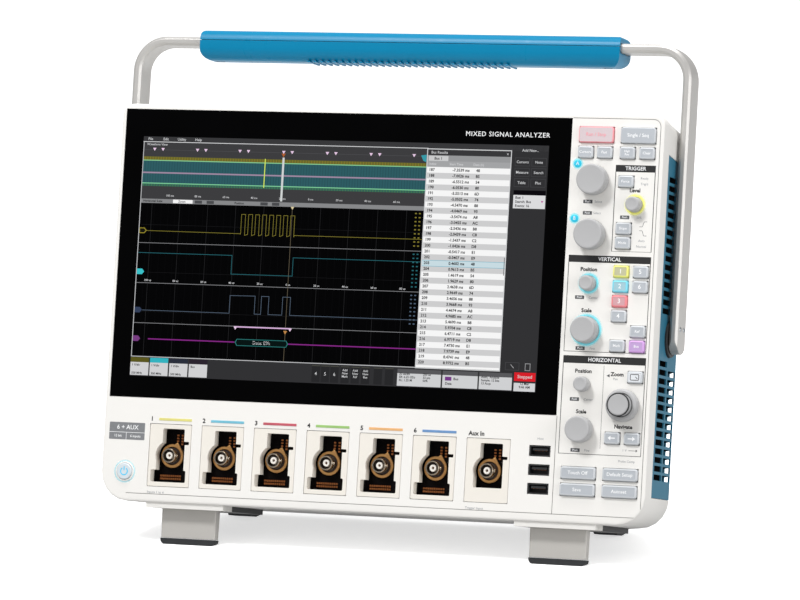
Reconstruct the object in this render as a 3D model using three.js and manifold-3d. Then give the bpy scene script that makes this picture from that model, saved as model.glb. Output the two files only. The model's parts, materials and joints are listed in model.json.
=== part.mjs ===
// Bench mixed-signal analyzer with a carrying handle, a wide touch screen and seven front inputs.
// Millimetres. Every piece is drawn in the instrument's own frame: X to the viewer's right, Y from the
// front face to the back, Z up from the underside. The whole instrument is then leaned back on its
// two front legs, so that it stands on Z = 0 with +Z up.
import * as THREE from 'three';
import { mergeVertices } from 'three/addons/utils/BufferGeometryUtils.js';
import Module from 'manifold-3d';

const wasm = await Module();
wasm.setup();

// ---- driving dimensions ----
const lean = THREE.MathUtils.degToRad(12);
const gap = 0.3;

const body = {
  half: 195.7, top: 273.8, lowCorner: 20, topCorner: 8,
  bezelDepth: 10, shoulder: 60, depth: 134,
  shoulderHalf: 193.9, shoulderTop: 266.6, backHalf: 160, backTop: 246,
  wall: 2.6, front: 4,
};
const glass = { left: -192.1, right: 130.6, low: 71.5, high: 269.9, thick: 2, set: 0.15 };
const input = { first: -145.4, pitch: 38.3, count: 7, z: 32.4, wide: 30.4, tall: 42.6, recess: 9 };
const press = { proud: 2.2, back: 5.5, flange: 1.2, lip: 0.9 };
const board = { front: 7.4, thick: 1.6 };
const usb = { x: 120.6, heights: [47.1, 34.5, 21.9], wide: 13, tall: 5.5, deep: 7, skin: 0.7 };
const vent = { low: 20, high: 248, frontLow: 14.5, frontHigh: 13.2, back: 84, thick: 2.4 };
const slot = { tall: 3.9, long: 18.6, pitch: 5.84, first: 33.8, rows: 35, starts: [18.4, 40.2] };
const handle = {
  y: 40, z: 127, outer: 202.7, thick: 6.2, deep: 20.5, bend: 24, barTop: 324.4,
  gripHalf: 152.3, gripLow: 308.4, gripHigh: 329.3, gripDeep: 26, hub: 12.4, hubFlange: 15.5,
};
const leg = { x: 133, half: 20, y: 15, z: 2.4, thick: 8, shank: -23.4, tip: -28.1 };
const pad = { half: 28.4, drop: 3.6, front: 2.2, roomBack: 47, back: 77 };
const foot = { x: 135, half: 8.7, front: 108, rest: 122, back: 132, drop: 4.4 };
const rearPanel = { half: 117.7, low: 13.3, high: 66.7, front: 131.3, back: 133 };
const inlet = { x: 92, z: 38, wide: 27.4, tall: 19.8, flange: 2, front: 112 };
const frameSheet = { half: 188, front: 15, back: 46, low: 13, high: 262, thick: 1.4 };
const mother = { half: 178, front: 24, back: 25.6, low: 16, high: 90, chipHalf: 22, chipBack: 36 };
const supply = { left: 25, right: 150, front: 50, back: 112, low: 112, high: 190 };
const bracket = { half: 50, low: 105, high: 205, hole: 2.1 };
const sideCut = { from: 150, to: 210 };
const fan = { x0: -158, x1: -133, y: 70, z: 136, size: 80, bore: 38, rotor: 36, hub: 17 };

const small = [10.6, 7.9];
const wide = [24.2, 8.3];
const large = [24.2, 10.6];
const column = { far: 141.5, mid: 148.4, near: 154.8, left: 170.6, pair: 177.6, right: 184.3 };
const buttons = [
  ['run_stop', column.mid, 259.3, large], ['single', column.pair, 259.3, large],
  ['cursors', column.far, 247.5, small], ['fast_acq', column.near, 247.5, small],
  ['high_res', column.left, 247.5, small], ['clear', column.right, 247.5, small],
  ['force', column.left, 228.4, small], ['slope', column.left, 197.1, small],
  ['mode', column.left, 187.4, small],
  ['channel_1', column.left, 168.4, small], ['channel_5', column.right, 168.4, small],
  ['channel_2', column.left, 158.5, small], ['channel_6', column.right, 158.5, small],
  ['channel_3', column.left, 148.6, small], ['channel_4', column.left, 138.7, small],
  ['ref', column.right, 128.8, small], ['math', column.left, 118.9, small],
  ['bus', column.right, 118.9, small],
  ['zoom', column.right, 98.5, small], ['navigate_left', column.left, 57.7, small],
  ['navigate_right', column.right, 57.7, small],
  ['touch_off', column.mid, 33.6, wide], ['default_setup', column.pair, 33.6, wide],
  ['save', column.mid, 22.4, wide], ['autoset', column.pair, 22.4, wide],
];
const power = { x: -177.7, z: 20.2, radius: 5.6, proud: 1.4 };
const bigKnob = { radius: 10.25, tall: 9.5 };
const scaleKnob = { radius: 8.85, tall: 9.5 };
const smallKnob = { radius: 5.1, tall: 8 };
const knobs = [
  ['knob_a', column.mid, 228.9, bigKnob], ['knob_b', column.mid, 192.4, bigKnob],
  ['trigger_level', column.pair, 213.2, smallKnob],
  ['vertical_position', column.mid, 159.9, smallKnob], ['vertical_scale', column.mid, 128.8, scaleKnob],
  ['horizontal_position', column.mid, 92.6, smallKnob],
  ['horizontal_scale', column.mid, 62.5, scaleKnob],
];
const zoomKnob = { x: 177.2, z: 79.6, radius: 7.6, tall: 13 };
const panRing = { radius: 10.95, bore: 8.1, sleeve: 9.2, tall: 7 };
const shaft = { radius: 3, back: 6.6, hole: 3.6 };
const knobSides = 20;
const encoder = { half: 5, deep: 4.6 };

// ---- finishes ----
const finish = (color, roughness, metalness = 0) =>
  new THREE.MeshStandardMaterial({ color, roughness, metalness });
const paint = {
  casing: finish(0xf0efec, 0.5),
  key: finish(0xb9bec3, 0.45),
  litKey: finish(0xd9b6bb, 0.45),
  knob: finish(0xb2b3b4, 0.5),
  grip: finish(0x0f84b0, 0.45),
  bar: finish(0xc9c9c8, 0.35, 0.8),
  dark: finish(0x26282a, 0.6),
  rubber: finish(0x2f3133, 0.85),
  leg: finish(0xaaa8a3, 0.5),
  vent: finish(0x2f7d99, 0.5),
  glass: finish(0x050506, 0.08),
  sheet: finish(0x9fa3a6, 0.4, 0.9),
  circuit: finish(0x1f5a3a, 0.6),
  gold: finish(0xc79a5b, 0.35, 0.9),
};

// ---- shape helpers ----
// A closed geometry as a solid that can be joined and cut.
function solid(geometry) {
  const bare = geometry.clone();
  bare.deleteAttribute('normal');
  bare.deleteAttribute('uv');
  const merged = mergeVertices(bare, 1e-4);
  return new wasm.Manifold(new wasm.Mesh({
    numProp: 3,
    vertProperties: new Float32Array(merged.attributes.position.array),
    triVerts: new Uint32Array(merged.index.array),
  }));
}

function toGeometry(shape) {
  const mesh = shape.getMesh();
  const geometry = new THREE.BufferGeometry();
  geometry.setAttribute('position', new THREE.BufferAttribute(new Float32Array(mesh.vertProperties), 3));
  geometry.setIndex(new THREE.BufferAttribute(new Uint32Array(mesh.triVerts), 1));
  geometry.computeVertexNormals();
  return geometry;
}

const join = (...shapes) => shapes.reduce((sum, shape) => sum.add(shape));

function block(x0, x1, y0, y1, z0, z1) {
  const geometry = new THREE.BoxGeometry(x1 - x0, y1 - y0, z1 - z0);
  return solid(geometry.translate((x0 + x1) / 2, (y0 + y1) / 2, (z0 + z1) / 2));
}

// A round bar along Y.
function roundY(radius, y0, y1, x, z, sides = 24) {
  const geometry = new THREE.CylinderGeometry(radius, radius, y1 - y0, sides);
  return solid(geometry.translate(x, (y0 + y1) / 2, z));
}

// A round bar along X.
function roundX(radius, x0, x1, y, z, sides = 24) {
  const geometry = new THREE.CylinderGeometry(radius, radius, x1 - x0, sides).rotateZ(Math.PI / 2);
  return solid(geometry.translate((x0 + x1) / 2, y, z));
}

// A flat outline in X and Z, pushed from y0 to y1.
function prism(points, y0, y1) {
  const options = { depth: y1 - y0, bevelEnabled: false, curveSegments: 6 };
  const geometry = new THREE.ExtrudeGeometry(new THREE.Shape(points), options);
  return solid(geometry.rotateX(Math.PI / 2).translate(0, y1, 0));
}

// A flat outline in Y and Z, pushed from x0 to x1.
const acrossX = new THREE.Matrix4().makeBasis(
  new THREE.Vector3(0, 1, 0), new THREE.Vector3(0, 0, 1), new THREE.Vector3(1, 0, 0));
function prismX(shape, x0, x1) {
  const options = { depth: x1 - x0, bevelEnabled: false, curveSegments: 6 };
  return solid(new THREE.ExtrudeGeometry(shape, options).applyMatrix4(acrossX).translate(x0, 0, 0));
}

// A turned piece about the Y direction through (x, z); the profile gives [radius, y].
function turned(profile, x, z, sides = 24) {
  const points = profile.map(([radius, y]) => new THREE.Vector2(radius, y));
  return solid(new THREE.LatheGeometry(points, sides).translate(x, 0, z));
}

// A rectangle in X and Z with round corners, as points in anticlockwise order.
function roundedOutline(left, right, low, high, lowRadius, highRadius, steps = 5) {
  const corners = [
    [left + lowRadius, low + lowRadius, lowRadius, Math.PI],
    [right - lowRadius, low + lowRadius, lowRadius, 1.5 * Math.PI],
    [right - highRadius, high - highRadius, highRadius, 0],
    [left + highRadius, high - highRadius, highRadius, 0.5 * Math.PI],
  ];
  return corners.flatMap(([x, z, radius, start]) =>
    Array.from({ length: steps + 1 }, (_, step) => {
      const angle = start + (step / steps) * (Math.PI / 2);
      return new THREE.Vector2(x + radius * Math.cos(angle), z + radius * Math.sin(angle));
    }));
}

// A skin through outlines of equal point count, each at its own y, closed at both ends.
function loft(sections) {
  const count = sections[0].points.length;
  const positions = sections.flatMap(({ y, points }) => points.flatMap((p) => [p.x, y, p.y]));
  const index = [];
  for (let s = 0; s < sections.length - 1; s += 1) {
    for (let i = 0; i < count; i += 1) {
      const near = s * count + i;
      const nearNext = s * count + ((i + 1) % count);
      index.push(near, near + count, nearNext, nearNext, near + count, nearNext + count);
    }
  }
  const last = (sections.length - 1) * count;
  for (const [a, b, c] of THREE.ShapeUtils.triangulateShape(sections[0].points, [])) {
    index.push(a, b, c);
  }
  for (const [a, b, c] of THREE.ShapeUtils.triangulateShape(sections.at(-1).points, [])) {
    index.push(last + c, last + b, last + a);
  }
  const geometry = new THREE.BufferGeometry();
  geometry.setAttribute('position', new THREE.Float32BufferAttribute(positions, 3));
  geometry.setIndex(index);
  return solid(geometry);
}

const inputX = (i) => input.first + input.pitch * i;
const bothSides = [['left', -1], ['right', 1]];
// The stretch of X that a cut through one side wall covers.
const sideSpan = (side) => (side > 0 ? [sideCut.from, sideCut.to] : [-sideCut.to, -sideCut.from]);

// ---- front casing ----
function buttonHoles() {
  return buttons.map(([, x, z, [width, height]]) =>
    block(x - width / 2 - gap, x + width / 2 + gap, -1, body.front + 1,
      z - height / 2 - gap, z + height / 2 + gap));
}

function knobHoles() {
  const plain = knobs.map(([, x, z]) => roundY(shaft.hole, -1, body.front + 1, x, z, 12));
  return [
    ...plain,
    roundY(panRing.sleeve + 0.5, -1, body.front + 1, zoomKnob.x, zoomKnob.z),
    roundY(power.radius + gap, -1, body.front + 1, power.x, power.z),
  ];
}

function frontCasing() {
  const outline = (inset) => roundedOutline(-body.half + inset, body.half - inset, inset,
    body.top - inset, body.lowCorner - inset, body.topCorner - inset);
  const outer = loft([
    { y: 0, points: outline(1.8) }, { y: 0.6, points: outline(0.6) },
    { y: 2.2, points: outline(0) }, { y: body.bezelDepth, points: outline(0) },
  ]);
  const hollow = prism(outline(body.wall), body.front, body.bezelDepth + 1);
  const pads = bothSides.map(([, side]) => block(side * leg.x - pad.half, side * leg.x + pad.half,
    pad.front, body.bezelDepth, -pad.drop, body.wall));
  const glassPocket = block(glass.left - gap, glass.right + gap, -1, 2.5,
    glass.low - gap, glass.high + gap);
  const screenWindow = block(glass.left + 6, glass.right - 6, -1, body.front + 1,
    glass.low + 6, glass.high - 6);
  const inputHoles = Array.from({ length: input.count }, (_, i) =>
    block(inputX(i) - input.wide / 2 - gap, inputX(i) + input.wide / 2 + gap, -1, body.front + 1,
      input.z - input.tall / 2 - gap, input.z + input.tall / 2 + gap));
  const usbHoles = usb.heights.map((z) => block(usb.x - usb.wide / 2 - usb.skin - gap,
    usb.x + usb.wide / 2 + usb.skin + gap, -1, body.front + 1,
    z - usb.tall / 2 - usb.skin - gap, z + usb.tall / 2 + usb.skin + gap));
  const cuts = [glassPocket, screenWindow, ...inputHoles, ...usbHoles, ...buttonHoles(), ...knobHoles()];
  return join(outer, ...pads).subtract(hollow).subtract(join(...cuts));
}

// ---- rear casing ----
const rearSections = [
  { y: body.bezelDepth + gap, half: body.half - 0.3, low: 0, top: body.top - 0.2 },
  { y: body.shoulder, half: body.shoulderHalf, low: 0, top: body.shoulderTop },
  { y: body.depth - 4, half: body.backHalf, low: 0, top: body.backTop },
  { y: body.depth, half: body.backHalf - 3, low: 3, top: body.backTop - 3 },
];

function rearShell(inset, sections) {
  return loft(sections.map(({ y, half, low, top }) => ({
    y,
    points: roundedOutline(-half + inset, half - inset, low + inset, top - inset,
      body.lowCorner - inset, body.topCorner - inset),
  })));
}

// How far the side wall stands from the middle plane at a depth y.
function sideHalf(y) {
  const [near, far] = y < body.shoulder ? rearSections.slice(0, 2) : rearSections.slice(1, 3);
  return near.half + ((far.half - near.half) * (y - near.y)) / (far.y - near.y);
}

// The outline of a vent panel seen from the side, grown by a margin.
function ventOutline(margin) {
  return new THREE.Shape([
    new THREE.Vector2(vent.frontLow - margin, vent.low - margin),
    new THREE.Vector2(vent.back + margin, vent.low - margin),
    new THREE.Vector2(vent.back + margin, vent.high - 8 + margin),
    new THREE.Vector2(vent.frontHigh - margin, vent.high + margin),
  ]);
}

function rearCasing() {
  const inner = [
    { ...rearSections[0], y: body.bezelDepth - 2 }, rearSections[1], rearSections[2],
    { y: body.depth - 3, half: body.backHalf - 0.8, low: 0.8, top: body.backTop - 0.8 },
  ];
  const pockets = bothSides.map(([, side]) => {
    const x = side * leg.x;
    const walls = join(
      block(x - pad.half, x + pad.half, body.bezelDepth + gap, pad.back, -pad.drop, body.wall),
      block(x - leg.half - 3, x + leg.half + 3, body.bezelDepth + gap, pad.roomBack + 3, -pad.drop, 9.4));
    const room = block(x - leg.half - 0.6, x + leg.half + 0.6, 0, pad.roomBack, -9, 7.2);
    const pinHole = roundX(2.1, x - leg.half - 4, x + leg.half + 4, leg.y, leg.z, 12);
    return { walls, cut: join(room, pinHole) };
  });
  const windows = bothSides.map(([, side]) =>
    prismX(ventOutline(gap), ...sideSpan(side)));
  const panelWindow = block(-rearPanel.half - gap, rearPanel.half + gap, body.depth - 8,
    body.depth + 2, rearPanel.low - gap, rearPanel.high + gap);
  const bracketHoles = [-bracket.half, bracket.half].flatMap((x) => [bracket.low, bracket.high].map((z) =>
    roundY(bracket.hole, body.depth - 8, body.depth + 2, x, z, 12)));
  return join(rearShell(0, rearSections).subtract(rearShell(body.wall, inner)),
    ...pockets.map((pocket) => pocket.walls))
    .subtract(join(...pockets.map((pocket) => pocket.cut), ...windows, panelWindow, ...bracketHoles));
}

// ---- side vents ----
// The wall's own bend between two depths, as a plate from the outside surface inwards.
function ventPlate(side, from, to, outside, inside, outline) {
  const stops = [from, body.shoulder, to];
  const plan = [
    ...stops.map((y) => new THREE.Vector2(sideHalf(y) - outside, y)),
    ...stops.toReversed().map((y) => new THREE.Vector2(sideHalf(y) - inside, y)),
  ];
  const options = { depth: body.top, bevelEnabled: false };
  const geometry = new THREE.ExtrudeGeometry(new THREE.Shape(plan), options);
  const plate = solid(geometry).intersect(prismX(outline, 0, sideCut.to));
  return side > 0 ? plate : plate.mirror([1, 0, 0]);
}

function ventPanel(side) {
  const skin = ventPlate(side, 5, vent.back + 1, 0.2, vent.thick + 0.2, ventOutline(0));
  const behind = body.wall + 3 * gap;
  const middle = prismX(ventOutline(-4), -sideCut.to, sideCut.to);
  const flange = ventPlate(side, 5, vent.back + 12, behind, behind + 1.4, ventOutline(5));
  const bridge = ventPlate(side, 5, vent.back + 1, vent.thick, behind + 0.2, ventOutline(0));
  const keepOut = handle.hub + 3;
  const cuts = [];
  for (let row = 0; row < slot.rows; row += 1) {
    const z = slot.first + slot.pitch * row;
    for (const start of slot.starts) {
      const awayY = Math.max(start - handle.y, handle.y - start - slot.long, 0);
      const awayZ = Math.max(Math.abs(z - handle.z) - slot.tall / 2, 0);
      if (Math.hypot(awayY, awayZ) > keepOut) {
        cuts.push(block(...sideSpan(side), start, start + slot.long,
          z - slot.tall / 2, z + slot.tall / 2));
      }
    }
  }
  cuts.push(roundX(handle.hub + gap, ...sideSpan(side), handle.y, handle.z));
  return join(skin, join(bridge, flange).subtract(middle)).subtract(join(...cuts));
}

// ---- screen ----
const displayGlass = () => block(glass.left, glass.right, glass.set, glass.set + glass.thick,
  glass.low, glass.high);

const lcdModule = () => block(glass.left + 7, glass.right - 7, 2.7, 9.4, glass.low + 7, glass.high - 7);

// ---- inputs ----
// The keyed hollow around one input, which a probe body fills.
function inputRecess(x, hasLowerRow) {
  const z = input.z;
  const y1 = input.recess;
  const parts = [
    roundY(10.2, -1, y1, x, z, 20),
    block(x - 3, x + 11.2, -1, y1, z, z + 17.8),
    block(x - 9.6, x + 10.8, -1, y1, z - 11.6, z - 1),
    block(x, x + 10.8, -1, y1, z - 2, z + 8),
    block(x + 11, x + 13.8, -1, y1, z + 7.6, z + 9.8),
  ];
  return join(...parts, ...(hasLowerRow ? [block(x - 13.2, x + 11.9, -1, y1, z - 18.3, z - 11.2)] : []));
}

// A bayonet jack: a wide collar at the foot of the recess and a hollow barrel with its insulator.
function bayonetJack(x) {
  const y1 = input.recess + 1;
  const barrel = roundY(4.85, 1, y1, x, input.z, 16).subtract(roundY(4, 0, 5.5, x, input.z, 16));
  const lugs = block(x - 5.6, x + 5.6, 2.6, 4.4, input.z - 0.9, input.z + 0.9)
    .subtract(roundY(4.4, 2, 5, x, input.z, 12));
  return join(barrel, lugs, roundY(8.2, 7.4, y1, x, input.z, 20), roundY(2.7, 2.4, y1, x, input.z, 8));
}

function inputConnectors() {
  const places = Array.from({ length: input.count }, (_, i) => inputX(i));
  const plates = places.map((x) => block(x - input.wide / 2, x + input.wide / 2, glass.set, 6,
    input.z - input.tall / 2, input.z + input.tall / 2));
  const bar = block(places[0] - 17, places.at(-1) + 17, body.front + gap, 13, 10.5, 56);
  const recesses = places.map((x, i) => inputRecess(x, i < input.count - 1));
  const tails = places.map((x) => block(x - 4, x + 4, 12, 23.6, input.z - 4, input.z + 4));
  return join(join(bar, ...plates).subtract(join(...recesses)), ...places.map(bayonetJack), ...tails);
}

// ---- controls ----
function button(x, z, [width, height]) {
  const half = (grow) => [x - width / 2 - grow, x + width / 2 + grow, z - height / 2 - grow,
    z + height / 2 + grow];
  const ring = (grow, radius) => roundedOutline(...half(grow), radius, radius, 1);
  const cap = loft([
    { y: -press.proud, points: ring(-0.7, 0.8) }, { y: -press.proud + 0.6, points: ring(0, 1.1) },
    { y: press.back, points: ring(0, 1.1) },
  ]);
  const [left, right, low, high] = half(press.lip);
  return cap.add(block(left, right, press.back - press.flange, press.back, low, high));
}

function powerButton() {
  const front = -power.proud;
  return turned([
    [0, front], [power.radius - 0.5, front], [power.radius, front + 0.5], [power.radius, 4.3],
    [power.radius + 1, 4.3], [power.radius + 1, press.back], [0, press.back],
  ], power.x, power.z);
}

function knob(x, z, { radius, tall }) {
  return turned([
    [0, -tall], [radius - 0.8, -tall], [radius, -tall + 0.8], [radius, -0.6],
    [shaft.radius, -0.6], [shaft.radius, shaft.back], [0, shaft.back],
  ], x, z, knobSides);
}

function panRingPiece() {
  const { radius, bore, sleeve, tall } = panRing;
  return turned([
    [bore, -tall], [radius - 1.2, -tall], [radius, -tall + 1.2], [radius, -0.6], [sleeve, -0.6],
    [sleeve, press.back], [bore, press.back], [bore, -tall],
  ], zoomKnob.x, zoomKnob.z);
}

// The board behind the controls, with the knobs' encoders and the three host sockets.
function frontPanelBoard() {
  const back = board.front + board.thick;
  const plates = [
    block(131.5, 190, board.front, back, 15, 264),
    block(108, 132, board.front, back, 15, 56),
  ];
  const encoders = [...knobs, ['zoom_knob', zoomKnob.x, zoomKnob.z]].map(([, x, z]) =>
    block(x - encoder.half, x + encoder.half, back - 0.2, back + encoder.deep,
      z - encoder.half, z + encoder.half));
  const sockets = usb.heights.map((z) => {
    const half = usb.wide / 2 + usb.skin;
    const tall = usb.tall / 2 + usb.skin;
    return block(usb.x - half, usb.x + half, 0.4, board.front + 0.2, z - tall, z + tall)
      .subtract(block(usb.x - usb.wide / 2, usb.x + usb.wide / 2, 0, usb.deep,
        z - usb.tall / 2, z + usb.tall / 2));
  });
  return join(...plates, ...encoders, ...sockets);
}

// ---- handle ----
function handleFrame() {
  const { outer, thick, bend, barTop, deep, y, z } = handle;
  const low = z - deep / 2;
  const inner = outer - thick;
  const shape = new THREE.Shape();
  shape.moveTo(-outer, low);
  shape.lineTo(-inner, low);
  shape.lineTo(-inner, barTop - bend);
  shape.absarc(-outer + bend, barTop - bend, bend - thick, Math.PI, Math.PI / 2, true);
  shape.lineTo(outer - bend, barTop - thick);
  shape.absarc(outer - bend, barTop - bend, bend - thick, Math.PI / 2, 0, true);
  shape.lineTo(inner, low);
  shape.lineTo(outer, low);
  shape.lineTo(outer, barTop - bend);
  shape.absarc(outer - bend, barTop - bend, bend, 0, Math.PI / 2, false);
  shape.lineTo(-outer + bend, barTop);
  shape.absarc(-outer + bend, barTop - bend, bend, Math.PI / 2, Math.PI, false);
  const round = 1.8;
  const options = {
    depth: deep - 2 * round, bevelEnabled: true, bevelThickness: round, bevelSize: round,
    bevelOffset: -round, bevelSegments: 1, curveSegments: 6,
  };
  const bar = new THREE.ExtrudeGeometry(shape, options).rotateX(Math.PI / 2);
  const side = new THREE.Shape();
  side.absarc(y, z, deep / 2, Math.PI, 2 * Math.PI, false);
  side.lineTo(y + deep / 2, barTop + 5);
  side.lineTo(y - deep / 2, barTop + 5);
  return solid(bar.translate(0, y + deep / 2 - round, 0)).intersect(prismX(side, -sideCut.to, sideCut.to));
}

function handleGrip() {
  const { gripHalf, gripLow, gripHigh, gripDeep, y, barTop, thick, deep } = handle;
  const section = new THREE.Shape(roundedOutline(y - gripDeep / 2, y + gripDeep / 2,
    gripLow, gripHigh, 9, 7));
  const channel = [
    [y - deep / 2 - gap, barTop - thick - gap], [y + deep / 2 + gap, barTop - thick - gap],
    [y + deep / 2 + gap, barTop + gap], [y - deep / 2 - gap, barTop + gap],
  ].map(([a, b]) => new THREE.Vector2(a, b));
  section.holes.push(new THREE.Path(channel));
  const front = roundedOutline(-gripHalf, gripHalf, gripLow - 0.1, gripHigh + 0.1, 7.5, 3);
  return prismX(section, -gripHalf - 1, gripHalf + 1).intersect(prism(front, 0, 90));
}

function handleHub(side) {
  const arm = handle.outer - handle.thick - gap;
  const behind = sideHalf(handle.y) - body.wall - gap - 1.4 - gap;
  const disc = roundX(handle.hub, behind - 1, arm, handle.y, handle.z);
  const flange = roundX(handle.hubFlange, behind - 3, behind, handle.y, handle.z);
  return side > 0 ? disc.add(flange) : disc.add(flange).mirror([1, 0, 0]);
}

// ---- legs and feet ----
// The height of the surface that the instrument stands on, in its own leaned frame.
const groundAt = (y) => -foot.drop - (foot.rest - y) * Math.tan(lean);

function legPiece(side) {
  const x = side * leg.x;
  const profile = new THREE.Shape();
  profile.moveTo(leg.y - leg.thick / 2, leg.shank);
  profile.lineTo(leg.y + leg.thick / 2, leg.shank);
  profile.absarc(leg.y, leg.z, leg.thick / 2, 0, Math.PI, false);
  return prismX(profile, x - leg.half, x + leg.half)
    .add(roundX(1.8, x - leg.half - 2.4, x + leg.half + 2.4, leg.y, leg.z, 12));
}

function legTip(side) {
  const x = side * leg.x;
  const outline = roundedOutline(x - leg.half, x + leg.half, leg.tip, leg.shank - gap, 3.5, 0.2, 4);
  const front = leg.y - leg.thick / 2;
  const back = leg.y + leg.thick / 2;
  const standing = new THREE.Shape([
    new THREE.Vector2(front, groundAt(front)), new THREE.Vector2(back, groundAt(back)),
    new THREE.Vector2(back, leg.shank), new THREE.Vector2(front, leg.shank),
  ]);
  return prism(outline, front, back).intersect(prismX(standing, x - 30, x + 30));
}

function rearFoot(side) {
  const x = side * foot.x;
  return prismX(new THREE.Shape([
    new THREE.Vector2(foot.front, -gap), new THREE.Vector2(foot.front + 1.5, -foot.drop),
    new THREE.Vector2(foot.rest, -foot.drop), new THREE.Vector2(foot.back, groundAt(foot.back)),
    new THREE.Vector2(foot.back - 3, -gap),
  ]), x - foot.half, x + foot.half);
}

// ---- inside and back ----
function chassis() {
  const { half, front, back, low, high, thick } = frameSheet;
  const plate = join(
    block(-half, half, front, front + thick, low, high),
    block(-half, half, front, back, low, low + thick),
    block(-half, half, front, back, high - thick, high));
  const passes = Array.from({ length: input.count }, (_, i) =>
    block(inputX(i) - 6, inputX(i) + 6, 10, 20, input.z - 6, input.z + 6));
  return plate.subtract(join(...passes));
}

function mainBoard() {
  const { half, front, back, low, high, chipHalf, chipBack } = mother;
  const processors = [-110, -40, 40].map((x) =>
    block(x - chipHalf, x + chipHalf, back - 0.4, chipBack, high - 38, high - 6));
  return join(block(-half, half, front, back, low, high), ...processors);
}

function powerSupply() {
  const { left, right, front, back, low, high } = supply;
  const cableBlock = block(left + 15, left + 35, back - 1, back + 4, low + 18, high - 20);
  return join(block(left, right, front, back, low, high), cableBlock);
}

function fanHousing() {
  const half = fan.size / 2;
  const frame = block(fan.x0, fan.x1, fan.y - half, fan.y + half, fan.z - half, fan.z + half)
    .subtract(roundX(fan.bore, fan.x0 - 1, fan.x1 + 1, fan.y, fan.z));
  const spider = join(
    block(fan.x1 - 3, fan.x1, fan.y - half + 1, fan.y + half - 1, fan.z - 2, fan.z + 2),
    block(fan.x1 - 3, fan.x1, fan.y - 2, fan.y + 2, fan.z - half + 1, fan.z + half - 1),
    roundX(fan.hub, fan.x1 - 3, fan.x1, fan.y, fan.z));
  return frame.add(spider);
}

function fanRotor() {
  const blades = Array.from({ length: 7 }, (_, i) => {
    const blade = new THREE.BoxGeometry(17, 1.6, fan.rotor - 10);
    blade.rotateZ(THREE.MathUtils.degToRad(38));
    blade.translate(0, 0, (fan.rotor + 10) / 2);
    blade.rotateX((i / 7) * 2 * Math.PI);
    return solid(blade.translate((fan.x0 + fan.x1) / 2 - 2, fan.y, fan.z));
  });
  return join(roundX(fan.hub, fan.x0 + 2, fan.x1 - 4, fan.y, fan.z), ...blades);
}

// A socket box reaching inwards from the back panel, open to the back.
function backSocket(x, z, width, height, depth) {
  const y1 = rearPanel.back;
  const shell = block(x - width / 2 - 1, x + width / 2 + 1, y1 - depth - 1, y1 + 0.6,
    z - height / 2 - 1, z + height / 2 + 1);
  const room = block(x - width / 2, x + width / 2, y1 - depth, y1 + 2, z - height / 2, z + height / 2);
  return { shell, room };
}

const backSockets = [
  [-8, 50, 12.4, 10.6, 14], [-34, 47.5, 13, 5.5, 12], [-34, 56.5, 13, 5.5, 12],
  [-56, 50, 8.6, 8, 12], [18, 50, 15.4, 5.8, 12],
];

function rearPanelPiece() {
  const { half, low, high, front, back } = rearPanel;
  const sockets = backSockets.map((socket) => backSocket(...socket));
  const jacks = [-100, -84, -68].map((x) =>
    roundY(4.85, front, back + 9, x, 28, 16).subtract(roundY(3.8, back + 3, back + 10, x, 28, 16)));
  const video = block(34, 66, front, back + 4, 45, 55);
  const inletHole = block(inlet.x - inlet.wide / 2 - gap, inlet.x + inlet.wide / 2 + gap, front - 1,
    back + 1, inlet.z - inlet.tall / 2 - gap, inlet.z + inlet.tall / 2 + gap);
  return join(block(-half, half, front, back, low, high), video, ...jacks,
    ...sockets.map((socket) => socket.shell))
    .subtract(join(inletHole, ...sockets.map((socket) => socket.room)));
}

function powerInlet() {
  const { x, z, wide: width, tall, flange, front } = inlet;
  const face = rearPanel.back + gap;
  const shell = join(
    block(x - width / 2, x + width / 2, front, face + 1, z - tall / 2, z + tall / 2),
    block(x - width / 2 - flange, x + width / 2 + flange, face, face + 1.8,
      z - tall / 2 - flange, z + tall / 2 + flange));
  const room = block(x - 12, x + 12, front + 3, face + 5, z - 8, z + 8);
  const blades = [[-7, -2.4], [0, -4.4], [7, -2.4]].map(([dx, dz]) =>
    block(x + dx - 1, x + dx + 1, front + 2, face - 3, z + dz - 2, z + dz + 2));
  return join(shell.subtract(room), ...blades);
}

// ---- assembly ----
const instrument = new THREE.Group();

function addPiece(name, shape, material) {
  const mesh = new THREE.Mesh(toGeometry(shape), material);
  mesh.name = name;
  instrument.add(mesh);
}

addPiece('front_casing', frontCasing(), paint.casing);
addPiece('rear_casing', rearCasing(), paint.casing);
addPiece('display_glass', displayGlass(), paint.glass);
addPiece('lcd_module', lcdModule(), paint.sheet);
addPiece('input_connectors', inputConnectors(), paint.gold);
addPiece('front_panel_board', frontPanelBoard(), paint.circuit);
addPiece('chassis', chassis(), paint.sheet);
addPiece('main_board', mainBoard(), paint.circuit);
addPiece('power_supply', powerSupply(), paint.sheet);
addPiece('fan_housing', fanHousing(), paint.dark);
addPiece('fan_rotor', fanRotor(), paint.dark);
addPiece('rear_panel', rearPanelPiece(), paint.sheet);
addPiece('power_inlet', powerInlet(), paint.dark);
addPiece('handle_frame', handleFrame(), paint.bar);
addPiece('handle_grip', handleGrip(), paint.grip);
for (const [word, side] of bothSides) {
  addPiece(`vent_${word}`, ventPanel(side), paint.vent);
  addPiece(`handle_hub_${word}`, handleHub(side), paint.dark);
  addPiece(`leg_${word}`, legPiece(side), paint.leg);
  addPiece(`leg_tip_${word}`, legTip(side), paint.rubber);
  addPiece(`rear_foot_${word}`, rearFoot(side), paint.rubber);
}
for (const [name, x, z, size] of buttons) {
  addPiece(name, button(x, z, size), name === 'run_stop' ? paint.litKey : paint.key);
}
addPiece('power', powerButton(), paint.key);
for (const [name, x, z, size] of knobs) {
  addPiece(name, knob(x, z, size), paint.knob);
}
addPiece('zoom_knob', knob(zoomKnob.x, zoomKnob.z, zoomKnob), paint.knob);
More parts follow.
